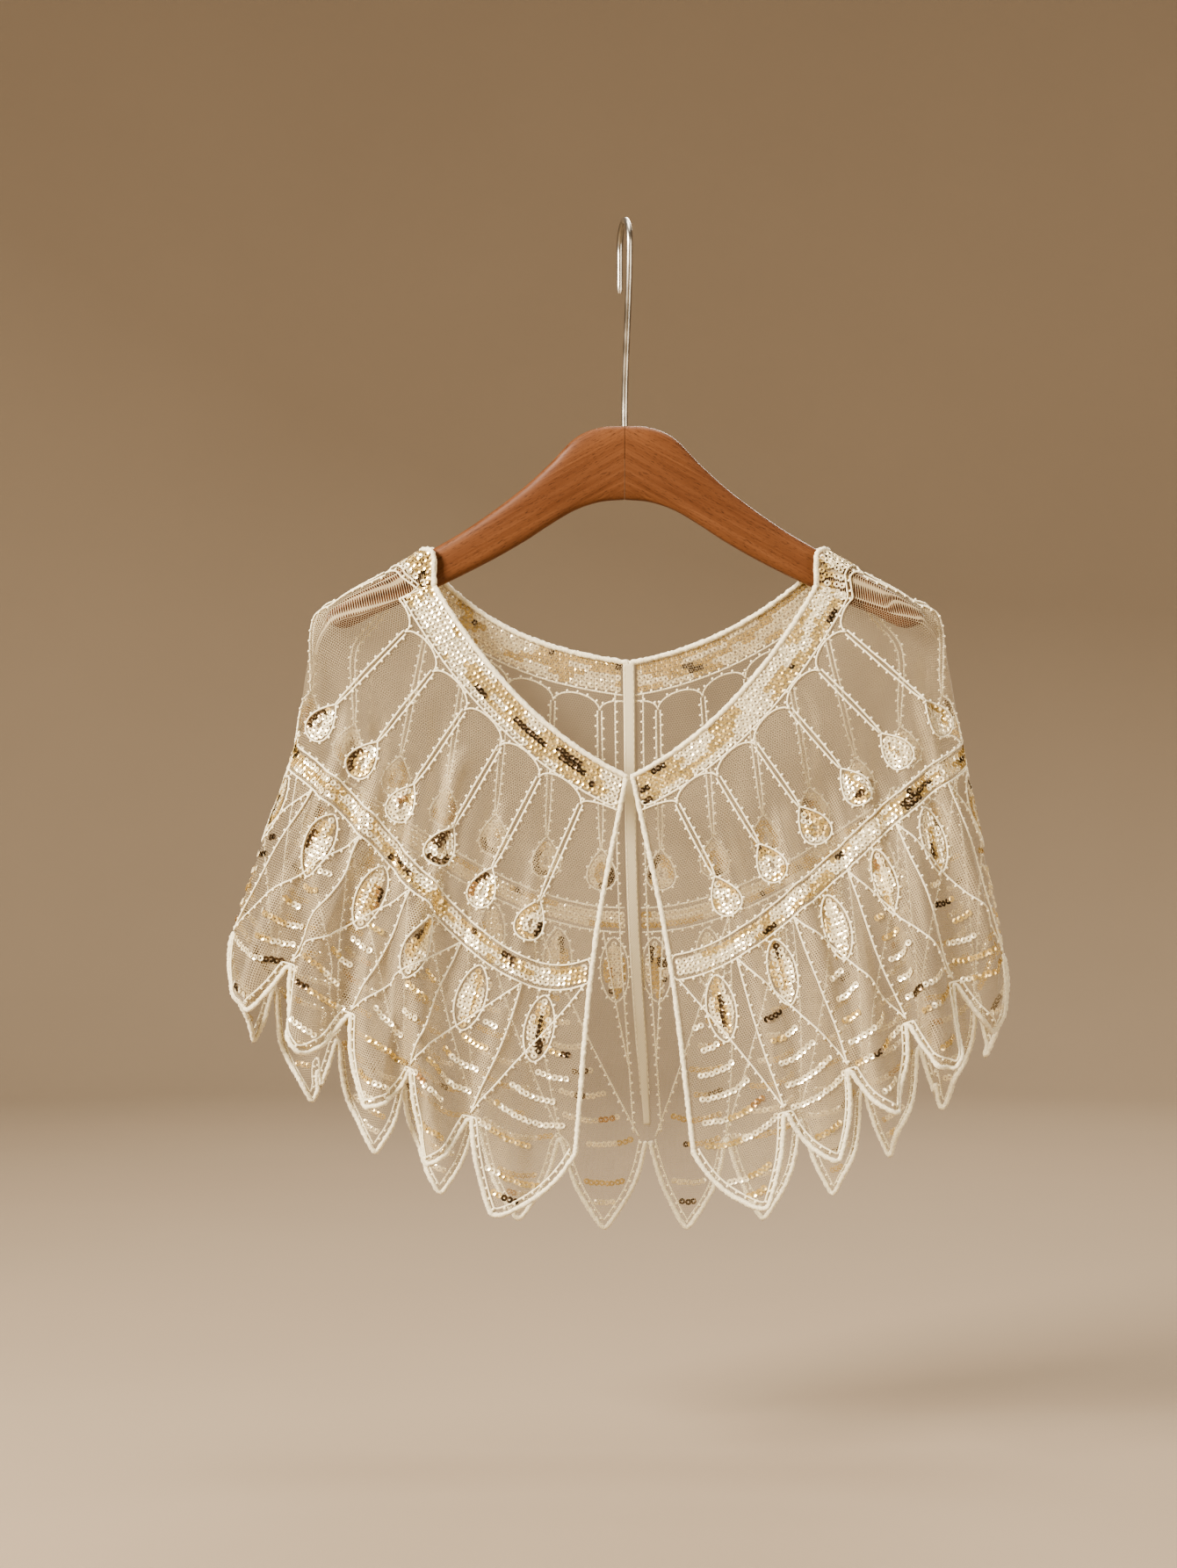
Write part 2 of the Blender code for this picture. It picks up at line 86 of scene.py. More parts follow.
ARM_THICKNESS = 0.0115
ARM_CORNER_POWER = 3.2
ARM_SECTIONS = {
    "reach": (0.000, 0.016, 0.031, 0.048, 0.062, 0.076, 0.104, 0.130, 0.160, 0.182, 0.191),
    "top": (
        -0.1295, -0.1306, -0.1368, -0.1538, -0.1668, -0.1780,
        -0.1975, -0.2125, -0.2300, -0.2430, -0.2505,
    ),
    "bottom": (
        -0.1768, -0.1783, -0.1832, -0.1930, -0.2022, -0.2105,
        -0.2252, -0.2375, -0.2505, -0.2590, -0.2560,
    ),
}

WIRE_RADIUS = 0.0021
HOOK_INSIDE_RADIUS = 0.0150
HOOK_TURN = math.radians(10)
HOOK_TAIL_BOTTOM = -0.0425
HOOK_STRAIGHT = 0.004
HOOK_END_ROUND = 0.0007
BORE_DEPTH = 0.022

FRONT_EDGE = {
    "level": (0.0, 1.0, 2.0, 3.0),
    "x": (0.0012, 0.0228, 0.0358, 0.0420),
    "z": (-0.3536, -0.4675, -0.5910, -0.6440),
    "depth": (0.0185, 0.0320, 0.0480, 0.0540),
    "sway": (0.0000, 0.0010, 0.0030, 0.0030),
}
SIDE_LINE = {
    "level": (0.0, 0.345, 0.483, 0.71, 1.0, 1.5, 2.0, 3.0),
    "x": (0.1265, 0.1750, 0.1955, 0.2050, 0.2130, 0.2310, 0.2480, 0.2420),
    "z": (-0.2092, -0.2372, -0.2475, -0.2850, -0.3320, -0.3980, -0.4640, -0.5080),
}
BACK_SEAM = {
    "level": (0.0, 1.0, 2.0, 3.0),
    "x": (SEAM_GAP / 2, SEAM_GAP / 2, SEAM_GAP / 2, SEAM_GAP / 2),
    "z": (-0.2798, -0.4395, -0.5935, -0.6500),
    "depth": (0.0165, 0.0300, 0.0450, 0.0500),
    "sway": (0.0000, 0.0030, 0.0130, 0.0130),
}
RISE = {
    "level": (0.0, 0.5, 1.0, 2.0, 3.0),
    "right_front_middle": (0.45, 0.35, 0.10, 0.50, 0.65),
    "left_front_middle": (0.45, 0.10, -0.85, 0.10, 0.20),
    "front_side": (1.70, 0.90, 0.35, 0.10, 0.10),
    "back_middle": (0.30, 0.15, -0.10, -0.20, -0.20),
    "right_back_side": (1.85, 1.50, 1.25, 2.20, 2.40),
    "left_back_side": (2.30, 1.50, 1.25, 2.20, 2.40),
}
HALVES = {
    "right": {"sign": 1, "neck_reach": 0.0000, "flare": -0.008, "lift": -0.006},
    "left": {"sign": -1, "neck_reach": 0.0055, "flare": 0.006, "lift": 0.008},
}
# Folds of a layer: distance from the middle at the middle band and at the hem, half width, depth
FOLDS = {
    ("right", "front"): (
        (0.072, 0.080, 0.018, 0.004),
        (0.108, 0.117, 0.013, 0.008),
        (0.139, 0.150, 0.011, 0.013),
        (0.174, 0.187, 0.011, 0.018),
        (0.203, 0.220, 0.010, 0.006),
    ),
    ("right", "back"): (
        (0.060, 0.068, 0.018, 0.005),
        (0.102, 0.112, 0.013, 0.010),
        (0.137, 0.149, 0.011, 0.015),
        (0.168, 0.185, 0.012, 0.010),
        (0.196, 0.216, 0.012, 0.004),
    ),
    ("left", "front"): (
        (0.090, 0.086, 0.016, 0.004),
        (0.138, 0.128, 0.012, 0.020),
        (0.164, 0.163, 0.010, 0.010),
        (0.187, 0.196, 0.010, 0.014),
        (0.205, 0.230, 0.010, 0.006),
    ),
    ("left", "back"): (
        (0.052, 0.060, 0.018, 0.004),
        (0.094, 0.104, 0.013, 0.009),
        (0.130, 0.141, 0.011, 0.013),
        (0.165, 0.178, 0.012, 0.009),
        (0.194, 0.214, 0.011, 0.008),
    ),
}

# Soft creases of a half, finer than the folds: along at the top and at the foot, where they start and
# end down the cloth, half width, and height, which is negative for a trough
CREASES = {
    "right": (
        (0.105, 0.118, 0.045, 0.385, 0.0065, 0.0030),
        (0.190, 0.205, 0.060, 0.385, 0.0059, 0.0045),
        (0.262, 0.270, 0.070, 0.385, 0.0072, -0.0028),
        (0.318, 0.325, 0.085, 0.385, 0.0059, 0.0052),
        (0.371, 0.372, 0.085, 0.385, 0.0065, -0.0018),
        (0.436, 0.428, 0.085, 0.300, 0.0065, 0.0045),
        (0.560, 0.570, 0.085, 0.385, 0.0065, 0.0034),
        (0.655, 0.668, 0.085, 0.385, 0.0072, -0.0018),
        (0.742, 0.748, 0.040, 0.300, 0.0065, 0.0028),
        (0.860, 0.855, 0.070, 0.385, 0.0078, 0.0023),
    ),
    "left": (
        (0.090, 0.108, 0.055, 0.385, 0.0065, 0.0028),
        (0.168, 0.180, 0.040, 0.300, 0.0059, -0.0028),
        (0.236, 0.240, 0.035, 0.385, 0.0065, 0.0050),
        (0.298, 0.302, 0.070, 0.385, 0.0059, -0.0028),
        (0.352, 0.350, 0.085, 0.385, 0.0072, 0.0052),
        (0.415, 0.410, 0.085, 0.385, 0.0065, 0.0042),
        (0.545, 0.556, 0.085, 0.385, 0.0065, -0.0018),
        (0.640, 0.650, 0.085, 0.300, 0.0065, 0.0032),
        (0.730, 0.742, 0.050, 0.385, 0.0072, 0.0028),
        (0.872, 0.865, 0.060, 0.385, 0.0078, -0.0023),
    ),
}
CREASE_RAMP = 0.030
# Samples to each side over which the cloth's wider direction is taken, and the slants where the net begins
# to be drawn closer and where it is fully closed: a painted sheen that makes the flanks of folds pale
SLANT_REACH = 20
FOLD_SHEEN_SLANTS = (0.08, 0.44)
# The chart of the cloth: its step down the cloth and its length from the neck edge
CHART_STEP = 0.001
CHART_LENGTH = 0.400

# Lengths of a half's ring at the neckband, at the middle band, under it and at the hem
NECK_RING = 0.36
BAND_RING = 0.51
KITE_RING = 0.60
HEM_RING = 0.62

# The embroidery of a half, repeated by rule along the ring
STEMS = {"count": 13, "first": 0.062, "step": 0.0743, "front_down": 0.0305, "back_down": 0.0350}
DROPS = {"first": 0.088, "step": 0.0728, "last": 0.962, "above_band": 0.0245}
KITES = {"count": 12, "step": 0.0875, "row_step": 0.0148, "last_row": 0.0105, "bow": 0.004}
LEAVES = {"count": 11, "first": 0.056, "step": 0.0850, "last": 0.975, "under_band": 0.0250}
DROP_WIDTH = 0.0192
DROP_HEIGHT = 0.0272
LEAF_WIDTH = 0.0188
LEAF_HEIGHT = 0.0430
# A leaf's rows of sequins: distance from its middle line, and reach as a share of its half height
LEAF_ROWS = ((-0.0058, 0.36), (-0.0029, 0.72), (0.0, 0.88), (0.0029, 0.72), (0.0058, 0.36))
# How far inside a drop's outline its two rings of sequins lie
DROP_INSETS = (0.0030, 0.0064)
ARCH_HEIGHT = 0.0085
# Half the distance between the two cords of a stem, by share of its length
STEM_SPREAD = {"share": (0, 0.5, 0.85, 1), "spread": (0.0014, 0.0016, 0.0014, 0.0005)}
NECKBAND_ROWS = (0.0048, 0.0084, 0.0120, 0.0156, 0.0191)
NECKBAND_CORD = 0.0225
NECKBAND_CORNER = 0.008
BAND_ROWS = (0.0044, 0.0080, 0.0116)
BAND_START = 0.0050
BAND_END_ROUND = 0.0035
SEAM_STOP = 0.0052
SEAM_LINE = 0.0090
HEM_INSET = 0.0014
HEM_CORD_INSET = 0.0052
ROW_SIDE_ROOM = 0.0042
SHORTEST_ROW = 0.006
SHORT_ROW_CHANCE = 0.26
SHORT_ROW_LOSS = (0.15, 0.35)
ROW_SAG = 0.11
SHOULDER = (0.545, 0.055)
SHOULDER_FADE = 0.04
FRONT_CORD_ALONG = 0.0022
NECK_CORD_DOWN = 0.0010

# Thread loops: sides, and the bud's radius by share of its length, both as shares of it
LOOP_SIDES = 5
LOOP_SHARES = (0.0, 0.4, 0.8)
LOOP_WIDTHS = (0.30, 0.46, 0.38)
LOOP_LIFT = 0.0006

# Sequins: height of the ring over the cloth, the heights of its section's four points, sides, lean
# along the row, and the spread of random tips and shifts
SEQUIN_LIFT = 0.00055
SEQUIN_HEIGHTS = (0.00002, 0.00036, 0.00026, -0.00008)
SEQUIN_SIDES = 8
SEQUIN_LEAN = 0.10
SEQUIN_TIP = 0.07
SEQUIN_SHIFT = 0.00018
# Chances of the tones cream, gold, bronze and copper
PALE_RUNS = (0.62, 0.31, 0.05, 0.02)
MIXED_RUNS = (0.52, 0.36, 0.09, 0.03)
LEAF_MIDDLES = (0.44, 0.38, 0.12, 0.06)
DARK_DROPS = 0.3
BRONZE = 2

TAPE_INSET = 0.0009
STITCH = {"first": 0.004, "step": 0.0042, "length": 0.0026, "across": 0.38, "inset": 0.00145}
STITCH_RADIUS = 0.00022

# Lamps: place, height of the point that each faces, size, and the setting that holds its power
LAMPS = {
    "key_light": ((-2.0, -1.6, 0.95), -0.40, 0.9, "key_power"),
    "fill_light": ((1.9, -1.7, -0.1), -0.42, 1.5, "fill_power"),
    "top_light": ((0.2, 0.0, 1.6), -0.40, 1.2, "top_power"),
    "back_light": ((0.7, 2.3, 1.5), -0.40, 1.4, "back_power"),
}
LAMP_COLOR = (1.0, 0.965, 0.91)
AIR_COLOR = (1.0, 0.97, 0.93, 1.0)
AIR_STRENGTH = 0.14
CAMERA_PLACE = (-0.0231, -2.1, -0.359)
CAMERA_LENS = 75.2
SENSOR_HEIGHT = 36.0
# The backdrop: flat radius of the floor, radius of its bend and height of the wall
FLOOR_RADIUS = 2.6
BEND_RADIUS = 1.1
WALL_HEIGHT = 5.0


def length_setting(name, description, default):
    """A setting in metres."""
    return FloatProperty(name=name, description=description, unit="LENGTH", default=default)


def color_setting(name, description, default):
    """A setting that holds a colour."""
    return FloatVectorProperty(name=name, description=description, subtype="COLOR", default=default)


def power_setting(name, default):
    """A setting that holds a lamp's power in watts."""
    return FloatProperty(name=name, description=f"Power of the {name.lower()} in watts", default=default)


class ClothSettings(bpy.types.PropertyGroup):
    """The net and the tape."""

    net_color: color_setting("Net colour", "Colour of the net's thread", (0.44, 0.35, 0.22))
    net_pitch: length_setting("Net pitch", "Distance between two holes of the net", 0.0016)
    net_thread: FloatProperty(
        name="Thread share", description="Level of the hole pattern under which there is thread", default=-1.0
    )
    petal_columns: IntProperty(
        name="Columns of a petal", description="Columns of net cells between two notches", default=24
    )
    rows: IntProperty(name="Rows", description="Rows of net cells from neck edge to hem", default=124)
    tape_width: length_setting("Tape width", "Width of the seam tape", 0.0072)


class CordSettings(bpy.types.PropertyGroup):
    """The cords and their small thread loops."""

    color: color_setting("Cord colour", "Colour of the satin thread", (0.92, 0.81, 0.58))
    fine_radius: length_setting("Fine cord radius", "Radius of the embroidered lines", 0.00066)
    edge_radius: length_setting("Edge cord radius", "Radius of the satin edge cord", 0.00160)
    loop_spacing: length_setting("Loop spacing", "Distance between two thread loops on a line", 0.0066)
    loop_length: length_setting("Loop length", "How far a thread loop stands out", 0.0021)


class SequinSettings(bpy.types.PropertyGroup):
    """The sequins."""

    diameter: length_setting("Diameter", "Diameter of a sequin", 0.0042)
    hole: length_setting("Hole", "Diameter of its hole", 0.00140)
    pitch: length_setting("Pitch", "Distance between two sequins of a row", 0.0034)
    cream: color_setting("Cream", "The lightest sequins", (0.96, 0.85, 0.60))
    gold: color_setting("Gold", "The pale gold sequins", (0.72, 0.54, 0.25))
    bronze: color_setting("Bronze", "The darkest sequins", (0.130, 0.085, 0.045))
    copper: color_setting("Copper", "The warm sequins", (0.54, 0.34, 0.17))


class HangerSettings(bpy.types.PropertyGroup):
    """The hanger."""

    wood_light: color_setting("Light wood", "Lightest tone of the stained wood", (0.200, 0.087, 0.039))
    wood_dark: color_setting("Dark wood", "Darkest tone of the stained wood", (0.120, 0.046, 0.020))
    wire_color: color_setting("Wire colour", "Colour of the wire", (0.56, 0.52, 0.45))


class StageSettings(bpy.types.PropertyGroup):
    """The floor, the lights and the camera."""

    floor_height: length_setting("Floor height", "Height of the floor", -0.80)
    floor_color: color_setting("Floor colour", "Colour of the floor and backdrop", (0.345, 0.270, 0.190))
    key_power: power_setting("Key light", 158.0)
    fill_power: power_setting("Fill light", 25.0)
    back_power: power_setting("Back light", 48.0)
    top_power: power_setting("Top light", 22.0)


def smooth_step(x):
    """0 below 0, 1 above 1, and a smooth rise between."""
    x = np.clip(x, 0.0, 1.0)
    return x * x * (3.0 - 2.0 * x)


def unit(vectors):
    """Vectors divided by their lengths."""
    return vectors / np.maximum(np.linalg.norm(vectors, axis=-1, keepdims=True), 1e-12)


def smooth_column(table, column, at):
    """A column of a table read against its first column, on a cubic that keeps the rows' slopes."""
    knots = np.array(next(iter(table.values())))
    values = np.array(table[column])
    slopes = np.gradient(values, knots)
    at = np.clip(at, knots[0], knots[-1])
    i = np.clip(np.searchsorted(knots, at, side="right") - 1, 0, len(knots) - 2)
    step = knots[i + 1] - knots[i]
    t = (at - knots[i]) / step
    return (
        (2 * t**3 - 3 * t**2 + 1) * values[i]
        + (t**3 - 2 * t**2 + t) * step * slopes[i]
        + (3 * t**2 - 2 * t**3) * values[i + 1]
        + (t**3 - t**2) * step * slopes[i + 1]
    )


def run_along(line):
    """The distance along a line of points, at each of them."""
    return np.concatenate([[0.0], np.cumsum(np.linalg.norm(np.diff(line, axis=0), axis=1))])


def points_at(line, run, at):
    """The points of a line at some distances along it."""
    return np.stack([np.interp(at, run, line[:, k]) for k in range(3)], axis=1)


def fold_rise(half, layer, x, level):
    """How far the folds stand out at distance x from the middle: a sum of bell curves."""
    grown = smooth_step((level - FOLD_START_LEVEL) / (FOLD_FULL_LEVEL - FOLD_START_LEVEL))
    rise = np.zeros_like(x)
    for band_x, hem_x, width, depth in FOLDS[half, layer]:
        middle = band_x + (hem_x - band_x) * max(level - BAND_LEVEL, 0.0)
        rise += depth * grown * np.exp(-(((x - middle) / width) ** 2))
    return rise


def rise_share(share, middle_slope, side_slope):
    """The share of a layer's rise that is reached at a share of its length, on one cubic."""
    cubic, square = share**3, share**2
    return (
        middle_slope * (cubic - 2 * square + share) + 3 * square - 2 * cubic + side_slope * (cubic - square)
    )


def ring(half, level):
    """One ring of a half: two layers that run straight from the middle and turn round the side.

    In plan a layer is x = end + (side - end)(1 - (1 - t)^p) and y = depth (1 - t^q), with the folds
    square to it. Its height rises with the length of that plan line, on a cubic.
    """
    spec = HALVES[half]
    hem_share = min(max(level - BAND_LEVEL, 0.0), 1.0)
    side_x = smooth_column(SIDE_LINE, "x", level)
    side_x += spec["flare"] * hem_share + spec["neck_reach"] * max(BAND_LEVEL - level, 0.0)
    side_z = smooth_column(SIDE_LINE, "z", level) + spec["lift"] * hem_share
    t = np.linspace(0.0, 1.0, RING_STEPS)
    eased = 1.0 - (1.0 - t) ** SIDE_ROUND
    layers = []
    for layer, facing, table, slope_names in (
        ("front", -1, FRONT_EDGE, (f"{half}_front_middle", "front_side")),
        ("back", 1, BACK_SEAM, ("back_middle", f"{half}_back_side")),
    ):
        end_x, depth, end_z, sway = (smooth_column(table, key, level) for key in ("x", "depth", "z", "sway"))
        plan = np.stack([end_x + (side_x - end_x) * eased, facing * depth * (1.0 - t**DEPTH_POWER)], axis=1)
        out = unit(np.stack([-facing * np.gradient(plan[:, 1]), facing * np.gradient(plan[:, 0])], axis=1))
        plan += (fold_rise(half, layer, plan[:, 0], level) * (1.0 - t**FOLD_END_POWER))[:, None] * out
        plan[:, 0] += spec["sign"] * sway * (1.0 - eased)
        run = run_along(plan)
        slopes = [smooth_column(RISE, key, level) for key in slope_names]
        height = end_z + (side_z - end_z) * rise_share(run / run[-1], *slopes)
        layers.append(np.column_stack([plan, height]))
    line = np.concatenate([layers[0], layers[1][-2::-1]])
    run = run_along(line)
    return points_at(line, run, np.linspace(0.0, run[-1], RING_SAMPLES))


def arm_height(edge, reach):
    """The height of the top or bottom of the hanger's arm."""
    return smooth_column(ARM_SECTIONS, edge, reach)


def rest_on_arm(points):
    """Lifts the points that would sink into the hanger's arm until they lie on it."""
    reach = np.abs(points[..., 0])
    share = np.abs(points[..., 1]) / (ARM_THICKNESS / 2 + CLOTH_SIDE_ROOM)
    over = (share < 1.0) & (reach < ARM_SECTIONS["reach"][-1])
    top = arm_height("top", reach)
    half_height = (top - arm_height("bottom", reach)) / 2
    crown = (1.0 - np.clip(share, 0.0, 1.0) ** ARM_CORNER_POWER) ** (1 / ARM_CORNER_POWER)
    seat = top - half_height * (1.0 - crown) + CLOTH_SEAT
    lifted = points.copy()
    lifted[..., 2] = np.where(over, np.maximum(points[..., 2], seat), points[..., 2])
    return lifted


def draped_half(half):
    """The surface of one half as an array of points, level by ring position, in the cape's place."""
    points = np.stack([ring(half, level) for level in np.linspace(0.0, POINT_LEVEL, LEVEL_SAMPLES)])
    points[..., 0] = points[..., 0] * HALVES[half]["sign"] + CAPE_SHIFT
    return rest_on_arm(points)


def petal_bounds():
    """Ring positions of the notches between the hem's petals."""
    return np.concatenate([[0.0], np.linspace(FIRST_PETAL_SHARE, 1.0, PETALS)])


def petal_tip_share(low):
    """Where in a petal its point lies: past its middle near the front, and at it by the back seam."""
    return 0.5 + PETAL_POINT_LEAN * (1.0 - low)


def hem_level(along):
    """The level of the hem: petals with nearly straight sides and a rounded point."""
    bounds = petal_bounds()
    k = np.clip(np.searchsorted(bounds, along, side="right") - 1, 0, PETALS - 1)
    share = (along - bounds[k]) / (bounds[k + 1] - bounds[k])
    tip = petal_tip_share(bounds[k])
    off = np.where(share < tip, (tip - share) / tip, (share - tip) / (1.0 - tip))
    r = PETAL_POINT_ROUND
    return NOTCH_LEVEL + (math.sqrt(1 + r * r) - np.sqrt(off**2 + r * r)) / (math.sqrt(1 + r * r) - r)


def between_samples(field, row, along):
    """A field of rings at fractional rows and at shares of the ring, linear between its samples."""
    column = np.clip(np.asarray(along, float), 0.0, 1.0) * (RING_SAMPLES - 1)
    i = np.minimum(row.astype(int), len(field) - 2)
    j = np.minimum(column.astype(int), RING_SAMPLES - 2)
    u, w = row - i, column - j
    if field.ndim > 2:
        u, w = u[..., None], w[..., None]
    near = field[i, j] * (1 - w) + field[i, j + 1] * w
    far = field[i + 1, j] * (1 - w) + field[i + 1, j + 1] * w
    return near * (1 - u) + far * u


class Chart:
    """One half of the cape as a chart of along and down, with its normals and its metric.

    The rings of the half are joined into columns, each column is read at even distances from the
    neck edge, and the creases are then raised along the normals.
    """

    def __init__(self, half):
        self.half = half
        self.sign = HALVES[half]["sign"]
        self.down = np.arange(0.0, CHART_LENGTH, CHART_STEP)
        rings = draped_half(half)
        runs, columns = [], []
        for j in range(RING_SAMPLES):
            runs.append(run_along(rings[:, j]))
            past = np.maximum(self.down - runs[-1][-1], 0.0)[:, None]
            column = points_at(rings[:, j], runs[-1], self.down)
            columns.append(column + past * unit(rings[-1, j] - rings[-3, j]))
        self.run = np.stack(runs, axis=1)
        self.points = np.stack(columns, axis=1)
        self.measure()
        self.points += self.crease_height()[..., None] * self.normals
        self.measure()

    def measure(self):
        """Takes the tangents and the outward normals from the differences between points."""
        self.across = np.gradient(self.points, 1.0 / (RING_SAMPLES - 1), axis=1)
        self.downward = np.gradient(self.points, CHART_STEP, axis=0)
        self.normals = unit(np.cross(self.across, self.downward)) * -self.sign
        if np.mean(self.normals[:, 0, 1]) > 0:
            self.normals = -self.normals

    def crease_height(self):
        """Heights of the creases: bell curves across, with smooth ramps where each starts and ends."""
        along = np.linspace(0.0, 1.0, RING_SAMPLES)[None, :]
        down = self.down[:, None]
        width = np.linalg.norm(self.across, axis=2)
        height = np.zeros(width.shape)
        for top, foot, start, end, half_width, rise in CREASES[self.half]:
            middle = top + (foot - top) * (down - start) / (end - start)
            ramp = smooth_step((down - start) / CREASE_RAMP) * smooth_step((end - down) / CREASE_RAMP)
            height += rise * ramp * np.exp(-(((along - middle) * width / half_width) ** 2))
        return height

    def slant(self):
        """How far the cloth turns from its own direction over a wider stretch of the ring, as a sine."""
        weights = np.hanning(2 * SLANT_REACH + 1)
        padded = np.pad(self.normals, ((0, 0), (SLANT_REACH, SLANT_REACH), (0, 0)), mode="edge")
        wide = sum(w * padded[:, k : k + RING_SAMPLES] for k, w in enumerate(weights))
        return np.linalg.norm(np.cross(self.normals, unit(wide)), axis=2)

    def read(self, field, along, down):
        """A field of the chart at arrays of places."""
        row = np.clip(np.asarray(down, float) / CHART_STEP, 0.0, len(self.down) - 1.001)
        return between_samples(field, row, along)

    def depth_of(self, along, level):
        """How far down a level lies at each ring position."""
        along, level = np.broadcast_arrays(np.asarray(along, float), np.asarray(level, float))
        return between_samples(self.run, np.clip(level / POINT_LEVEL, 0.0, 1.0) * (LEVEL_SAMPLES - 1), along)

    def place(self, along, down, lift=0.0):
        """The points at arrays of places, lifted off the cloth."""
        lift = np.asarray(lift, float)[..., None]
        return self.read(self.points, along, down) + self.facing(along, down) * lift

    def facing(self, along, down):
        """The outward normals at arrays of places."""
        return unit(self.read(self.normals, along, down))

    def width_at(self, along, down):
        """The length of the whole ring, at the rate that it has at arrays of places."""
        return np.linalg.norm(self.read(self.across, along, down), axis=-1)

    def shifted(self, along, down, right, below):
        """Places that lie some way to the back and below, measured on the cloth and square to it."""
        a = self.read(self.across, along, down)
        d = unit(self.read(self.downward, along, down))
        lean = np.sum(a * d, axis=-1)
        change = np.asarray(right) / np.linalg.norm(a - lean[..., None] * d, axis=-1)
        return along + change, down + np.asarray(below) - change * lean

    def offset_to(self, along, down, goals):
        """How far points lie to the back and below of chart places, measured along the cloth."""
        off = goals - self.place(along, down)
        below = unit(self.read(self.downward, along, down))
        right = self.read(self.across, along, down)
        right = unit(right - np.sum(right * below, axis=-1, keepdims=True) * below)
        return np.sum(off * right, axis=-1), np.sum(off * below, axis=-1)

    def even_path(self, along, down, step, ends=True):
        """A path through chart places, read again at even steps on the cloth, or at the steps' middles."""
        t = np.linspace(0.0, len(along) - 1.0, 40 * len(along) if len(along) < 12 else 6 * len(along))
        fine_along = np.interp(t, np.arange(len(along)), along)
        fine_down = np.interp(t, np.arange(len(down)), down)
        run = run_along(self.place(fine_along, fine_down))
        even = np.linspace(0.0, run[-1], max(int(round(run[-1] / step)), 1) + 1)
        if not ends:
            even = (even[1:] + even[:-1]) / 2
        return np.interp(even, run, fine_along), np.interp(even, run, fine_down)


CHARTS = {}


def chart_of(half):
    """The chart of a half, worked out once."""
    if half not in CHARTS:
        CHARTS[half] = Chart(half)
    return CHARTS[half]


def taut_line(chart, start, end):
    """The straight line on the cloth between two chart places.

    Points spread evenly between them are moved along the cloth, a part of the way each time, until
    each lies square over the chord between the two ends. On the shoulder they stay where they are.
    """
    t = np.linspace(0.0, 1.0, 25)
    a = start[0] + (end[0] - start[0]) * t
    d = start[1] + (end[1] - start[1]) * t
    ends = chart.place(a[[0, -1]], d[[0, -1]])
    chord = ends[0] + (ends[1] - ends[0]) * t[:, None]
    off_shoulder = smooth_step((abs(start[0] - SHOULDER[0]) - SHOULDER[1]) / SHOULDER_FADE)
    pull = 0.4 * off_shoulder * (1.0 - (2.0 * t - 1.0) ** 8)
    for _ in range(20):
        right, below = chart.offset_to(a, d, chord)
        a, d = chart.shifted(a, d, pull * right, pull * below)
    return a, d


class Pile:
    """Collects points and faces of many small shapes that become one mesh."""

    def __init__(self):
        self.points = []
        self.faces = {3: [], 4: []}
        self.maps = {3: [], 4: []}
        self.tones = []
        self.count = 0

    def add(self, points, quads, quad_map=None, triangles=None, triangle_map=None, tones=None):
        """Adds points, and faces as rows of their indices with a map place for each corner."""
        self.points.append(points)
        for size, faces, places in ((4, quads, quad_map), (3, triangles, triangle_map)):
            if faces is not None and len(faces):
                self.faces[size].append(faces + self.count)
                self.maps[size].append(np.zeros((len(faces), size, 2)) if places is None else places)
        self.tones.append(np.ones((len(points), 3)) if tones is None else tones)
        self.count += len(points)

    def to_object(self, name, material, slot, sharp=None):
        """The collected shapes as one object that rides on the body."""
        points = np.concatenate(self.points)
        sizes = [size for size in (4, 3) if self.faces[size]]
        faces = [np.concatenate(self.faces[size]) for size in sizes]
        places = [np.concatenate(self.maps[size]).reshape(-1, 2) for size in sizes]
        corners = np.concatenate([f.reshape(-1) for f in faces]).astype(np.int32)
        totals = np.concatenate([np.full(len(f), f.shape[1]) for f in faces])
        starts = np.concatenate([[0], np.cumsum(totals)[:-1]]).astype(np.int32)
        mesh = bpy.data.meshes.new(name)
        mesh.vertices.add(len(points))
        mesh.vertices.foreach_set("co", points.astype(np.float32).reshape(-1))
        mesh.loops.add(len(corners))
        mesh.loops.foreach_set("vertex_index", corners)
        mesh.polygons.add(len(totals))
        mesh.polygons.foreach_set("loop_start", starts)
        mesh.update(calc_edges=True)
        layer = mesh.uv_layers.new(name="cloth")
        layer.data.foreach_set("uv", np.concatenate(places).astype(np.float32).reshape(-1))
        tones = np.column_stack([np.concatenate(self.tones), np.ones(len(points))])
        tint = mesh.attributes.new("tone", "FLOAT_COLOR", "POINT")
        tint.data.foreach_set("color", tones.astype(np.float32).reshape(-1))
        mesh.polygons.foreach_set("use_smooth", np.full(len(totals), True))
        if sharp is not None:
            mesh.set_sharp_from_angle(angle=math.radians(sharp))
        mesh.validate()
        mesh.materials.append(material)
        obj = bpy.data.objects.new(name, mesh)
        bpy.context.scene.collection.objects.link(obj)
        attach(obj, BODY)
        return obj


def grid_faces(rows, columns, wrap=False):
    """Index rows of the cells of a grid of points, whose last column may join the first."""
    i, j = np.meshgrid(np.arange(rows - 1), np.arange(columns if wrap else columns - 1), indexing="ij")
    i, j = i.reshape(-1), j.reshape(-1)
    k = (j + 1) % columns
    return np.stack([i * columns + j, i * columns + k, (i + 1) * columns + k, (i + 1) * columns + j], axis=1)


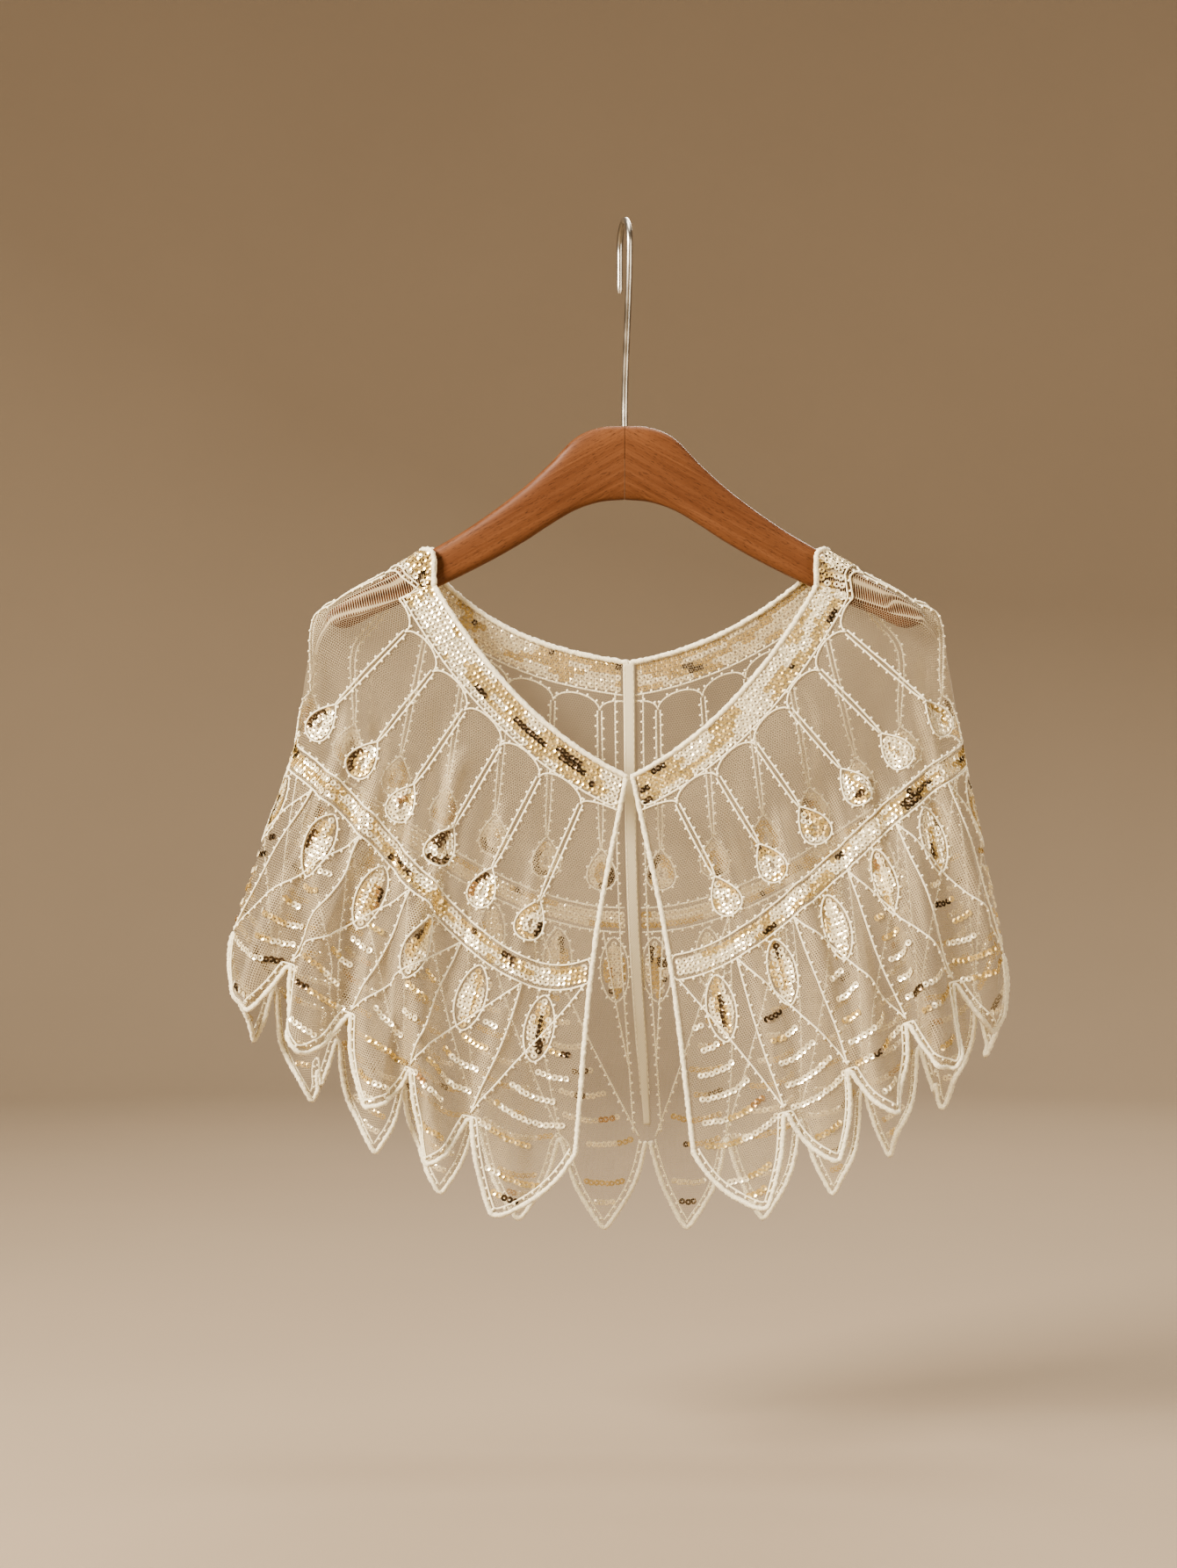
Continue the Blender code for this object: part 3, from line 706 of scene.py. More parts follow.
def end_fans(rows, sides):
    """Triangles that close both ends of a tube of rings on the two points that follow them."""
    k = np.arange(sides)
    last = (rows - 1) * sides
    return np.concatenate([
        np.stack([(k + 1) % sides, k, np.full(sides, rows * sides)], axis=1),
        np.stack([last + k, last + (k + 1) % sides, np.full(sides, rows * sides + 1)], axis=1),
    ])


def faces_of_all(faces, count, each):
    """The faces of one small shape repeated for a number of them, with their points after each other."""
    return (faces[None] + np.arange(count)[:, None, None] * each).reshape(-1, faces.shape[1])


def full_turn(sides):
    """The angles of the corners of a ring."""
    return np.linspace(0.0, 2 * math.pi, sides, endpoint=False)


def tube_shape(path, normals, radius, sides):
    """A round bar along a path: at each point a circle, radius times (cos, sin), across the path.

    The circle starts at the normal. Each end closes on a point. The map runs round the bar and down
    its length, in metres.
    """
    count = len(path)
    tangents = unit(np.gradient(path, axis=0))
    beside = unit(np.cross(tangents, normals))
    up = np.cross(beside, tangents)
    radius = np.asarray(radius, float)
    radius = np.broadcast_to(radius[:, None] if radius.ndim == 1 else radius, (count, sides))[..., None]
    turn = full_turn(sides)[None, :, None]
    skin = path[:, None, :] + radius * (np.cos(turn) * up[:, None, :] + np.sin(turn) * beside[:, None, :])
    points = np.concatenate([skin.reshape(-1, 3), path[:1], path[-1:]])
    run = run_along(path)
    i, j = np.meshgrid(np.arange(count - 1), np.arange(sides), indexing="ij")
    i, j = i.reshape(-1), j.reshape(-1)
    around = np.stack([j, j + 1, j + 1, j], axis=1) / sides
    length = np.stack([run[i], run[i], run[i + 1], run[i + 1]], axis=1)
    triangle_map = np.zeros((2 * sides, 3, 2))
    triangle_map[sides:, :, 1] = run[-1]
    quads = grid_faces(count, sides, wrap=True)
    return points, quads, np.stack([around, length], axis=2), end_fans(count, sides), triangle_map


def lay_cord(pile, chart, along, down, radius, sides=6, step=0.0018, lift=None, rough=0.0, seed=0):
    """Lays a cord on the cloth along a path of chart places."""
    a, d = chart.even_path(along, down, step)
    if len(a) < 3:
        return
    path = chart.place(a, d, radius * 0.9 if lift is None else lift)
    jitter = np.random.default_rng(seed).uniform(-1.0, 1.0, (len(a), sides))
    pile.add(*tube_shape(path, chart.facing(a, d), radius * (1.0 + rough * jitter), sides))


def lay_loops(pile, chart, along, down, side, offset):
    """Small thread loops that stand out from a line: pointed buds, round in section."""
    s = bpy.context.scene.cape_cords
    fine_a, fine_d = chart.even_path(along, down, s.loop_spacing / 4)
    picks = np.arange(int(4 * offset), len(fine_a) - 1, 4)
    if not len(picks):
        return
    centre = chart.place(fine_a, fine_d, LOOP_LIFT)
    tangent = unit(np.gradient(centre, axis=0))[picks]
    normal = chart.facing(fine_a, fine_d)[picks]
    out = unit(np.cross(normal, tangent)) * side
    centre = centre[picks]
    turn = full_turn(LOOP_SIDES)[:, None]
    circle = np.cos(turn) * tangent[:, None, None] + np.sin(turn) * normal[:, None, None]
    shares = np.array(LOOP_SHARES)[:, None, None]
    widths = np.array(LOOP_WIDTHS)[:, None, None]
    skin = centre[:, None, None] + s.loop_length * (shares * out[:, None, None] + widths * circle)
    tips = centre + out * s.loop_length
    points = np.concatenate([skin.reshape(len(picks), -1, 3), centre[:, None], tips[:, None]], axis=1)
    rings = len(LOOP_SHARES)
    quads = faces_of_all(grid_faces(rings, LOOP_SIDES, wrap=True), *points.shape[:2])
    triangles = faces_of_all(end_fans(rings, LOOP_SIDES), *points.shape[:2])
    if side < 0:
        quads, triangles = quads[:, ::-1], triangles[:, ::-1]
    pile.add(points.reshape(-1, 3), quads, triangles=triangles)


def run_tones(count, rng, shares, longest=8):
    """Tone numbers for a row of sequins, in short runs: 0 cream, 1 gold, 2 bronze, 3 copper."""
    tones = []
    while len(tones) < count:
        tone = rng.choice(4, p=shares)
        tones += [tone] * int(rng.integers(2, (longest if tone < BRONZE else 4) + 1))
    return np.array(tones[:count])


def patch_tones(rows, count, rng, gold, bronze, dark_end):
    """Tone numbers for rows that lie side by side: patches where smooth noise is high.

    The noise is raised near the front end by a bell curve, more so in the lower rows.
    """
    knots = rng.normal(size=(rows + 1, count // 5 + 3))
    knots = 0.6 * (knots[1:] + knots[:-1]) + 0.5 * rng.normal(size=(rows, knots.shape[1]))
    at = np.linspace(0.0, knots.shape[1] - 1.0, count)
    fine = np.stack([np.interp(at, np.arange(knots.shape[1]), row) for row in knots])
    gold_from, bronze_from = np.quantile(fine, [1.0 - gold - bronze, 1.0 - bronze])
    fine += dark_end * np.exp(-(((np.arange(count) - 9) / 8) ** 2)) * np.linspace(0.4, 1.0, rows)[:, None]
    return (fine > gold_from).astype(int) + (fine > bronze_from)


def lay_sequins(pile, chart, along, down, rng, tones=None, shares=PALE_RUNS):
    """Sews a row of sequins along a path of chart places.

    A sequin is a cupped ring with a closed section of four points. It is set on the cloth's normal,
    tipped a little along the row so that it rests on the next one, and a little at random.
    """
    s = bpy.context.scene.cape_sequins
    a, d = chart.even_path(along, down, s.pitch, ends=False)
    count = len(a)
    tones = np.resize(run_tones(count, rng, shares) if tones is None else tones, count)
    a, d = chart.shifted(a, d, *rng.normal(0.0, SEQUIN_SHIFT, (2, count)))
    centre = chart.place(a, d, SEQUIN_LIFT)
    normal = chart.facing(a, d)
    tangent = unit(np.gradient(centre, axis=0) if count > 1 else chart.read(chart.across, a, d))
    tip = rng.normal(0.0, SEQUIN_TIP, (count, 2))
    beside = unit(np.cross(normal, tangent))
    up = unit(normal + tangent * (SEQUIN_LEAN + tip[:, :1]) + beside * tip[:, 1:])
    side = unit(np.cross(up, tangent))
    forward = np.cross(side, up)
    hole = np.full(count, s.hole / 2)
    edge = s.diameter / 2 * rng.uniform(0.95, 1.04, count)
    radii = np.stack([hole, edge, edge, hole], axis=1)[:, :, None, None]
    heights = np.array(SEQUIN_HEIGHTS)[:, None, None]
    turn = full_turn(SEQUIN_SIDES)[:, None]
    circle = np.cos(turn) * forward[:, None, None] + np.sin(turn) * side[:, None, None]
    points = centre[:, None, None] + radii * circle + heights * up[:, None, None]
    each = len(SEQUIN_HEIGHTS) * SEQUIN_SIDES
    cells = (grid_faces(len(SEQUIN_HEIGHTS) + 1, SEQUIN_SIDES, wrap=True) % each)[:, ::-1]
    colors = np.array([s.cream[:], s.gold[:], s.bronze[:], s.copper[:]])[tones]
    colors = np.repeat(colors * rng.uniform(0.86, 1.10, (count, 1)), each, axis=0)
    pile.add(points.reshape(-1, 3), faces_of_all(cells, count, each), tones=colors)


def feed(material, socket, value):
    """Links a node's input to another node's output, or sets its value."""
    if isinstance(value, bpy.types.NodeSocket):
        material.node_tree.links.new(value, socket)
    else:
        socket.default_value = value


def add_node(material, kind, out=0, **values):
    """Adds a shader node and gives one of its outputs, by number or name.

    Each value sets the node's property of that name, or else feeds the input, with _ for a space.
    """
    node = material.node_tree.nodes.new("ShaderNode" + kind)
    for name, value in values.items():
        if hasattr(node, name):
            setattr(node, name, value)
        else:
            feed(material, node.inputs[name.replace("_", " ")], value)
    return node.outputs[out]


def calculate(material, operation, *values, kind="Math", out=0):
    """Adds a mathematical node whose inputs are fed in their order."""
    node = add_node(material, kind, operation=operation).node
    for socket, value in zip(node.inputs, values):
        feed(material, socket, value)
    return node.outputs[out]


def map_range(material, value, low, high, start=0.0, end=1.0, kind="LINEAR"):
    """A number from low to high, where a value runs from start to end."""
    return add_node(
        material, "MapRange", interpolation_type=kind, Value=value,
        From_Min=start, From_Max=end, To_Min=low, To_Max=high,
    )


def color_ramp(material, value, low, high, start=0.0, end=1.0):
    """A colour from low to high, where a value runs from start to end."""
    node = add_node(material, "ValToRGB", Fac=value).node
    first, last = node.color_ramp.elements
    first.position, first.color = start, (*low, 1.0)
    last.position, last.color = end, (*high, 1.0)
    return node.outputs["Color"]


def tinted(material, value, color, low, high, start=0.0, end=1.0):
    """A colour times a number from low to high, where a value runs from start to end."""
    dark, light = [c * low for c in color], [min(c * high, 1.0) for c in color]
    return color_ramp(material, value, dark, light, start, end)


def stretched_noise(material, vector, scale, detail):
    """Noise with a scale of its own on each axis."""
    mapping = add_node(material, "Mapping", Vector=vector, Scale=scale)
    return add_node(material, "TexNoise", Vector=mapping, Scale=1.0, Detail=detail)


def shade(material, **values):
    """Feeds inputs of a material's Principled shader, with _ for a space."""
    shader = material.node_tree.nodes["Principled BSDF"]
    for name, value in values.items():
        feed(material, shader.inputs[name.replace("_", " ")], value)


def new_material(name, color, roughness, metallic=0.0):
    """A material with its Principled shader set."""
    material = bpy.data.materials.new(name)
    material.use_nodes = True
    shade(material, Base_Color=(*color, 1.0), Roughness=roughness, Metallic=metallic)
    return material


def net_material():
    """Six-sided net: where the sum of three cosine waves, 60 degrees apart, is low, there is thread.

    On the flanks of folds, where the mesh's tone is high, the holes are drawn smaller: a painted sheen that
    makes the folds show as pale bands.
    """
    s = bpy.context.scene.cape_cloth
    material = new_material("six_sided_net", s.net_color, 0.75)
    place = add_node(material, "UVMap", uv_map="cloth")
    wave_length = s.net_pitch * math.sqrt(3) / 2
    waves = []
    for angle in (0.0, math.radians(60), math.radians(120)):
        wave = [2 * math.pi / wave_length * w for w in (math.cos(angle), math.sin(angle), 0.0)]
        dot = calculate(material, "DOT_PRODUCT", place, wave, kind="VectorMath", out="Value")
        waves.append(calculate(material, "COSINE", dot))
    total = calculate(material, "ADD", calculate(material, "ADD", waves[0], waves[1]), waves[2])
    # The mesh's tone closes the net on the flanks of folds: painted sheen
    slant = add_node(material, "Attribute", "Fac", attribute_name="tone")
    level = calculate(material, "MULTIPLY_ADD", slant, -0.95, total)
    soft = 0.14
    cover = map_range(material, level, 0.92, 0.0, s.net_thread - soft, s.net_thread + soft, "SMOOTHSTEP")
    spots = add_node(material, "TexNoise", Vector=place, Scale=45.0, Detail=3.0)
    shade(
        material,
        Alpha=cover,
        Base_Color=tinted(material, spots, s.net_color, 0.86, 1.10, 0.3, 0.7),
        Sheen_Weight=0.5,
        Sheen_Roughness=0.35,
    )
    return material


def thread_material(name, rib_pitch, depth):
    """Satin thread: ribs across the cord from its own map, and a fine fuzz."""
    color = bpy.context.scene.cape_cords.color
    material = new_material(name, color, 0.55)
    ribs = add_node(
        material, "TexWave", "Fac", wave_type="BANDS", bands_direction="Y", Distortion=1.5,
        Vector=add_node(material, "UVMap", uv_map="cloth"), Scale=2 * math.pi / 20 / rib_pitch,
    )
    where = add_node(material, "TexCoord", "Object")
    spots = add_node(material, "TexNoise", Vector=where, Scale=900.0, Detail=2.0)
    height = calculate(material, "MULTIPLY_ADD", ribs, 0.6, spots)
    shade(
        material,
        Base_Color=tinted(material, spots, color, 0.80, 1.12, 0.30, 0.72),
        Normal=add_node(material, "Bump", Height=height, Strength=0.8, Distance=depth),
        Sheen_Weight=0.35,
    )
    return material


def tape_material():
    """Plain woven tape: fine crossed waves on its own map."""
    color = [c * 0.76 for c in bpy.context.scene.cape_cords.color]
    material = new_material("woven_tape", color, 0.8)
    threads = add_node(
        material, "TexWave", "Fac", wave_type="BANDS", bands_direction="DIAGONAL",
        Vector=add_node(material, "UVMap", uv_map="cloth"), Scale=420.0,
    )
    shade(
        material,
        Base_Color=tinted(material, threads, color, 0.82, 1.0),
        Normal=add_node(material, "Bump", Height=threads, Strength=0.5, Distance=0.0001),
    )
    return material


def sequin_material():
    """Cupped film discs: each takes its tone from the mesh, and the darker the tone, the more metal."""
    material = new_material("sequin_film", (0.8, 0.7, 0.5), 0.24, 0.35)
    tone = add_node(material, "Attribute", "Color", attribute_name="tone")
    where = add_node(material, "TexCoord", "Object")
    scuffs = add_node(material, "TexNoise", Vector=where, Scale=700.0, Detail=2.0)
    paleness = add_node(material, "RGBToBW", Color=tone)
    shade(
        material,
        Base_Color=tone,
        Metallic=map_range(material, paleness, 0.85, 0.42, 0.20, 0.75),
        Roughness=map_range(material, scuffs, 0.16, 0.36),
        Coat_Weight=0.4,
        Coat_Roughness=0.08,
    )
    return material


def wood_material():
    """Stained beech: long fibres and short dark pores that run along each arm."""
    s = bpy.context.scene.cape_hanger
    material = new_material("stained_beech", s.wood_light, 0.42)
    where = add_node(material, "TexCoord", "Object")
    x, y, z = add_node(material, "SeparateXYZ", Vector=where).node.outputs
    mirrored = add_node(material, "CombineXYZ", X=calculate(material, "ABSOLUTE", x), Y=y, Z=z)
    lying = add_node(material, "Mapping", Vector=mirrored, Rotation=(0.0, math.radians(-29), 0.0))
    fibres = stretched_noise(material, lying, (14.0, 500.0, 620.0), 4.0)
    figure = stretched_noise(material, lying, (9.0, 30.0, 40.0), 3.0)
    pores = stretched_noise(material, lying, (240.0, 2400.0, 2400.0), 1.0)
    blend = add_node(material, "Mix", "Result", data_type="FLOAT", Factor=0.45, A=fibres, B=figure)
    tint = color_ramp(material, blend, s.wood_dark, s.wood_light, 0.32, 0.66)
    holes = map_range(material, pores, 0.0, 1.0, 0.59, 0.70, "SMOOTHSTEP")
    share = calculate(material, "MULTIPLY", holes, 0.60)
    dark = (*[c * 0.45 for c in s.wood_dark], 1.0)
    shade(
        material,
        Base_Color=add_node(material, "Mix", "Result", data_type="RGBA", Factor=share, A=tint, B=dark),
        Normal=add_node(material, "Bump", Height=fibres, Strength=0.35, Distance=0.0002),
        Roughness=map_range(material, fibres, 0.34, 0.52),
        Coat_Weight=0.08,
        Coat_Roughness=0.35,
        Specular_IOR_Level=0.30,
    )
    return material


def wire_material():
    """Drawn steel wire: fine marks along it, a little dulled in patches."""
    color = bpy.context.scene.cape_hanger.wire_color
    material = new_material("drawn_wire", color, 0.3, 1.0)
    where = add_node(material, "TexCoord", "Object")
    marks = stretched_noise(material, where, (2500.0, 2500.0, 60.0), 2.0)
    dull = add_node(material, "TexNoise", Vector=where, Scale=60.0, Detail=4.0)
    shade(
        material,
        Base_Color=tinted(material, dull, color, 0.62, 1.0, 0.32, 0.60),
        Roughness=map_range(material, dull, 0.20, 0.48),
        Normal=add_node(material, "Bump", Height=marks, Strength=0.3, Distance=0.00005),
    )
    return material


MATERIALS = {
    "six_sided_net": net_material,
    "satin_cord": lambda: thread_material("satin_cord", 0.0009, 0.0003),
    "fine_cord": lambda: thread_material("fine_cord", 0.0007, 0.0002),
    "woven_tape": tape_material,
    "sequin_film": sequin_material,
    "stained_beech": wood_material,
    "drawn_wire": wire_material,
}


def kept_material(name):
    """The material of that name, made once."""
    return bpy.data.materials.get(name) or MATERIALS[name]()


def neckband_lines(chart):
    """The neckband's sequin rows and its lower cord, which rounds off and closes the front end."""
    start = chart.shifted(0.0, 0.012, 0.0035, 0.0)[0]
    stop = 1.0 - SEAM_STOP / NECK_RING
    rows = [(np.linspace(start, stop, 60), np.full(60, down)) for down in NECKBAND_ROWS]
    turn = np.linspace(math.pi / 2, 0.0, 10)
    corner_a = (0.0016 + NECKBAND_CORNER * (1 - np.sin(turn))) / chart.width_at(0.0, NECKBAND_CORD)
    corner_d = NECKBAND_CORD - NECKBAND_CORNER * (1 - np.cos(turn))
    return rows, (np.append(corner_a, stop + 0.006), np.append(corner_d, NECKBAND_CORD))


def stem_down(along):
    """How far down the arches meet the stems."""
    return STEMS["front_down"] + (STEMS["back_down"] - STEMS["front_down"]) * along


def stem_places():
    """Ring positions of the stems."""
    return STEMS["first"] + STEMS["step"] * np.arange(STEMS["count"])


def arch_lines():
    """Arches between the stems under the neckband: half ellipses, with part arches at both ends."""
    feet = stem_places()
    lines = []
    turn = np.linspace(0.0, math.pi, 25)
    for low, high in zip(feet[:-1], feet[1:]):
        a = (low + high) / 2 - (high - low) / 2 * np.cos(turn)
        lines.append((a, stem_down(a) - ARCH_HEIGHT * np.sin(turn)))
    quarter = np.linspace(math.pi / 2, math.pi, 13)
    a = -feet[0] * np.cos(quarter)
    lines.append((a + 0.004 * np.sin(quarter), stem_down(a) - 0.007 * np.sin(quarter)))
    turn = np.linspace(0.0, 0.62 * math.pi, 16)
    a = feet[-1] + STEMS["step"] / 2 * (1 - np.cos(turn))
    lines.append((a, stem_down(a) - ARCH_HEIGHT * np.sin(turn)))
    return lines


def drop_outline():
    """A drop with a pointed top: half width w sin(t) sin(t/2), and height from top to foot -cos(t)."""
    t = np.linspace(0.0, 2 * math.pi, 41)
    widest = 0.77
    return DROP_WIDTH / 2 * np.sin(t) * np.abs(np.sin(t / 2)) / widest, -DROP_HEIGHT / 2 * np.cos(t)


def leaf_outline():
    """A leaf with two points: half width w sin(t)^1.25 and height -cos(t), down and up again."""
    t = np.linspace(0.0, 2 * math.pi, 41)
    side = np.sign(np.sin(t)) * np.abs(np.sin(t)) ** 1.25
    return LEAF_WIDTH / 2 * side, -LEAF_HEIGHT / 2 * np.cos(t)


def drop_frames(chart):
    """Each drop's middle on the chart, its stem's foot, and its axis, which points away from the foot."""
    a = np.minimum(DROPS["first"] + DROPS["step"] * np.arange(STEMS["count"]), DROPS["last"])
    d = chart.depth_of(a, BAND_LEVEL) - DROPS["above_band"]
    feet = stem_places()
    right, below = chart.offset_to(a, d, chart.place(feet, stem_down(feet)))
    axes = -unit(np.stack([right, below], axis=1))
    return list(zip(zip(a, d), zip(feet, stem_down(feet)), axes))


def turned(right, below, axis):
    """Offsets turned so that what pointed down points along an axis on the cloth."""
    return right * axis[1] + below * axis[0], below * axis[1] - right * axis[0]


def leaf_centres(chart):
    """Chart places of the leaves' middles."""
    a = np.append(LEAVES["first"] + LEAVES["step"] * np.arange(LEAVES["count"]), LEAVES["last"])
    return list(zip(a, chart.depth_of(a, BAND_LEVEL) + MIDDLE_BAND_WIDTH + LEAVES["under_band"]))


def band_lines(chart):
    """The middle band's two cords, joined by a round front end, and its sequin rows."""
    start, stop = BAND_START / BAND_RING, 1.0 - SEAM_STOP / BAND_RING
    a = np.linspace(start, stop, 120)
    top = chart.depth_of(a, BAND_LEVEL)
    turn = np.linspace(-math.pi / 2, math.pi / 2, 11)
    end_a = start - BAND_END_ROUND / BAND_RING * np.cos(turn)
    end_d = top[0] + MIDDLE_BAND_WIDTH / 2 * (1 + np.sin(turn))
    foot = top + MIDDLE_BAND_WIDTH
    cord = (np.concatenate([a[::-1], end_a, a]), np.concatenate([top[::-1], end_d, foot]))
    return cord, [(a, top + down) for down in BAND_ROWS]


def kite_corners(chart, k):
    """Chart places of a kite's apex, and of its two foot corners at the notches."""
    bounds = petal_bounds()
    apex = KITES["step"] * k + (0.010 if k == 0 else 0.0)
    apex_down = chart.depth_of(apex, BAND_LEVEL) + MIDDLE_BAND_WIDTH
    feet = []
    for a in (max(bounds[k], 0.008), min(bounds[k + 1], 1.0 - SEAM_STOP / KITE_RING)):
        feet.append((a, chart.depth_of(a, NOTCH_LEVEL) - HEM_CORD_INSET * 0.8))
    return (apex, float(apex_down)), feet


def kite_lines(chart):
    """The picoted lines that spread from the band to the notches."""
    lines = []
    bend = np.linspace(0.0, 1.0, 9)
    for k in range(PETALS):
        (a, d), feet = kite_corners(chart, k)
        for side, (foot_a, foot_d) in zip((-1, 1), feet):
            if k > 0 or side > 0:
                bow = KITES["bow"] * side * np.sin(math.pi * bend)
                lines.append((a + (foot_a - a) * bend + bow, d + (foot_d - d) * bend, side))
    a = KITES["step"] * (KITES["count"] - 1)
    d = float(chart.depth_of(a, BAND_LEVEL)) + MIDDLE_BAND_WIDTH
    foot_a = 1.0 - SEAM_LINE / KITE_RING
    foot_d = float(chart.depth_of(foot_a, 1.62))
    lines.append((np.linspace(a, foot_a, 9), np.linspace(d, foot_d, 9), 1))
    return lines


def row_ends(chart):
    """Both ends of each sequin row of the kites and then of the petals, and whether it is a petal's."""
    bounds = petal_bounds()
    rows = []
    for k in range(PETALS):
        (a, d), feet = kite_corners(chart, k)
        length = (feet[0][1] + feet[1][1]) / 2 - d
        for share in np.arange(length, 0.018, -KITES["row_step"])[::-1] / length:
            rows.append(([(a + (fa - a) * share, d + (fd - d) * share) for fa, fd in feet], False))
        tip = bounds[k] + (bounds[k + 1] - bounds[k]) * petal_tip_share(bounds[k])
        tip_down = float(chart.depth_of(tip, POINT_LEVEL))
        notch_down = float(chart.depth_of(tip, NOTCH_LEVEL))
        petal = np.linspace(bounds[k] + 1e-6, bounds[k + 1] - 1e-6, 400)
        step = KITES["row_step"]
        for down in np.arange(notch_down + step, tip_down - KITES["last_row"], step):
            level = NOTCH_LEVEL + (down - notch_down) / (tip_down - notch_down)
            inside = petal[hem_level(petal) >= level]
            rows.append(([(side, float(chart.depth_of(side, level))) for side in inside[[0, -1]]], True))
    return rows


def kite_rows(chart, rng):
    """Sagging sequin rows in each kite and petal, at even steps down, some of which stop short."""
    lines = []
    for ((a0, d0), (a1, d1)), in_petal in row_ends(chart):
        width = np.linalg.norm(chart.place(a1, d1) - chart.place(a0, d0))
        room = ROW_SIDE_ROOM + (HEM_CORD_INSET if in_petal else 0.0)
        if width < 2 * room + 0.0036:
            continue
        start, stop = room / width, 1.0 - room / width
        if rng.uniform() < SHORT_ROW_CHANCE and not in_petal:
            if rng.uniform() < 0.5:
                start += rng.uniform(*SHORT_ROW_LOSS)
            else:
                stop -= rng.uniform(*SHORT_ROW_LOSS)
        if (stop - start) * width >= SHORTEST_ROW:
            t = np.linspace(start, stop, 15)
            sag = ROW_SAG * width * 4 * t * (1 - t)
            lines.append((a0 + (a1 - a0) * t, d0 + (d1 - d0) * t + sag))
    return lines


def hem_line(chart, inset):
    """The hem of a half at a distance inside its edge, without the loops that corners would give.

    Each point of the edge moves inwards, square to the edge. Those that come nearer to any other part
    of the edge than the distance are left out.
    """
    bounds = petal_bounds()
    steps = [np.linspace(low, high, 90, endpoint=False) for low, high in zip(bounds[:-1], bounds[1:])]
    a = np.clip(np.concatenate(steps + [[1.0]]), 0.0, 1.0)
    flat = np.stack([a * HEM_RING, chart.depth_of(a, hem_level(a))], axis=1)
    tangent = unit(np.gradient(flat, axis=0))
    moved = flat + np.stack([tangent[:, 1], -tangent[:, 0]], axis=1) * inset
    gap = np.linalg.norm(moved[:, None] - flat[None], axis=2).min(axis=1)
    keep = (gap > inset * 0.93) & (moved[:, 0] > inset * 0.6) & (moved[:, 0] < HEM_RING - 0.001)
    return moved[keep, 0] / HEM_RING, moved[keep, 1]


def fine_lines(chart):
    """Every embroidered line of a half with the side on which it has loops: along, down, side."""
    lines = [(*neckband_lines(chart)[1], 1)]
    lines += [(a, d, 1) for a, d in arch_lines()]
    shapes = []
    for centre, foot, axis in drop_frames(chart):
        shapes.append((drop_outline, centre, axis))
        top = chart.shifted(*centre, *turned(0.0, -DROP_HEIGHT / 2, axis))
        a, d = taut_line(chart, foot, top)
        spread = np.interp(np.linspace(0, 1, len(a)), STEM_SPREAD["share"], STEM_SPREAD["spread"])
        lines += [(*chart.shifted(a, d, side * spread, 0.0), side) for side in (-1, 1)]
    shapes += [(leaf_outline, centre, (0.0, 1.0)) for centre in leaf_centres(chart)]
    for outline, centre, axis in shapes:
        a, d = chart.shifted(*centre, *turned(*outline(), axis))
        lines.append((np.minimum(a, 1.0 - SEAM_STOP / KITE_RING), d, 1))
    lines.append((*band_lines(chart)[0], -1))
    lines += [(a, d, -side) for a, d, side in kite_lines(chart)]
    lines.append((*hem_line(chart, HEM_CORD_INSET), -1))
    seam_d = np.linspace(NECKBAND_CORD, float(chart.depth_of(1.0, 1.95)), 30)
    lines.append((1.0 - SEAM_LINE / chart.width_at(np.ones(30), seam_d), seam_d, 1))
    return lines


class CAPE_OT_net(bpy.types.Operator):
    """Makes the net of both halves: a grid of the chart from the neck edge to the petal hem.

    Its map is the flat pattern, a sector of a ring: radius r = r0 + down and angle k (along - 1/2),
    where k is how much a ring lengthens for each metre down and r0 = neck length / k.
    """

    bl_idname = "cape.net"
    bl_label = "Net"

    def execute(self, context):
        s = context.scene.cape_cloth
        bounds = petal_bounds()
        steps = [np.linspace(l, h, s.petal_columns, endpoint=False) for l, h in zip(bounds[:-1], bounds[1:])]
        ring_steps = np.concatenate(steps + [[1.0]])
        for half in HALF_NAMES:
            chart = chart_of(half)
            down = np.linspace(0.0, 1.0, s.rows)[:, None] * chart.depth_of(ring_steps, hem_level(ring_steps))
            along = np.broadcast_to(ring_steps, down.shape)
            # Where the cloth turns away from its surroundings, on the flanks of folds, the net is drawn
            # closer: painted sheen
            turned_away = chart.read(chart.slant()[..., None], along, down).reshape(-1, 1)
            start, end = FOLD_SHEEN_SLANTS
            fold_sheen = np.repeat(smooth_step((turned_away - start) / (end - start)), 3, axis=1)
            faces = grid_faces(*down.shape)[:, :: -chart.sign]
            flat = self.flat_pattern(chart, along, down)
            pile = Pile()
            pile.add(chart.place(along, down).reshape(-1, 3), faces, flat[faces], tones=fold_sheen)
            net = pile.to_object(f"net_cloth_{half}", kept_material("six_sided_net"), "ivory_net")
            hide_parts(f"net_{half}")
        return {"FINISHED"}

    def flat_pattern(self, chart, along, down):
        """Places of the chart on the flat sector."""
        low_down = 0.25
        share = np.linspace(0, 1, 400)
        neck, low = (run_along(chart.place(share, np.full(400, d)))[-1] for d in (0.0, low_down))
        spread = (low - neck) / low_down
        radius = neck / spread + down
        angle = spread * (along - 0.5)
        return np.stack([radius * np.sin(angle), radius * np.cos(angle)], axis=2).reshape(-1, 2)


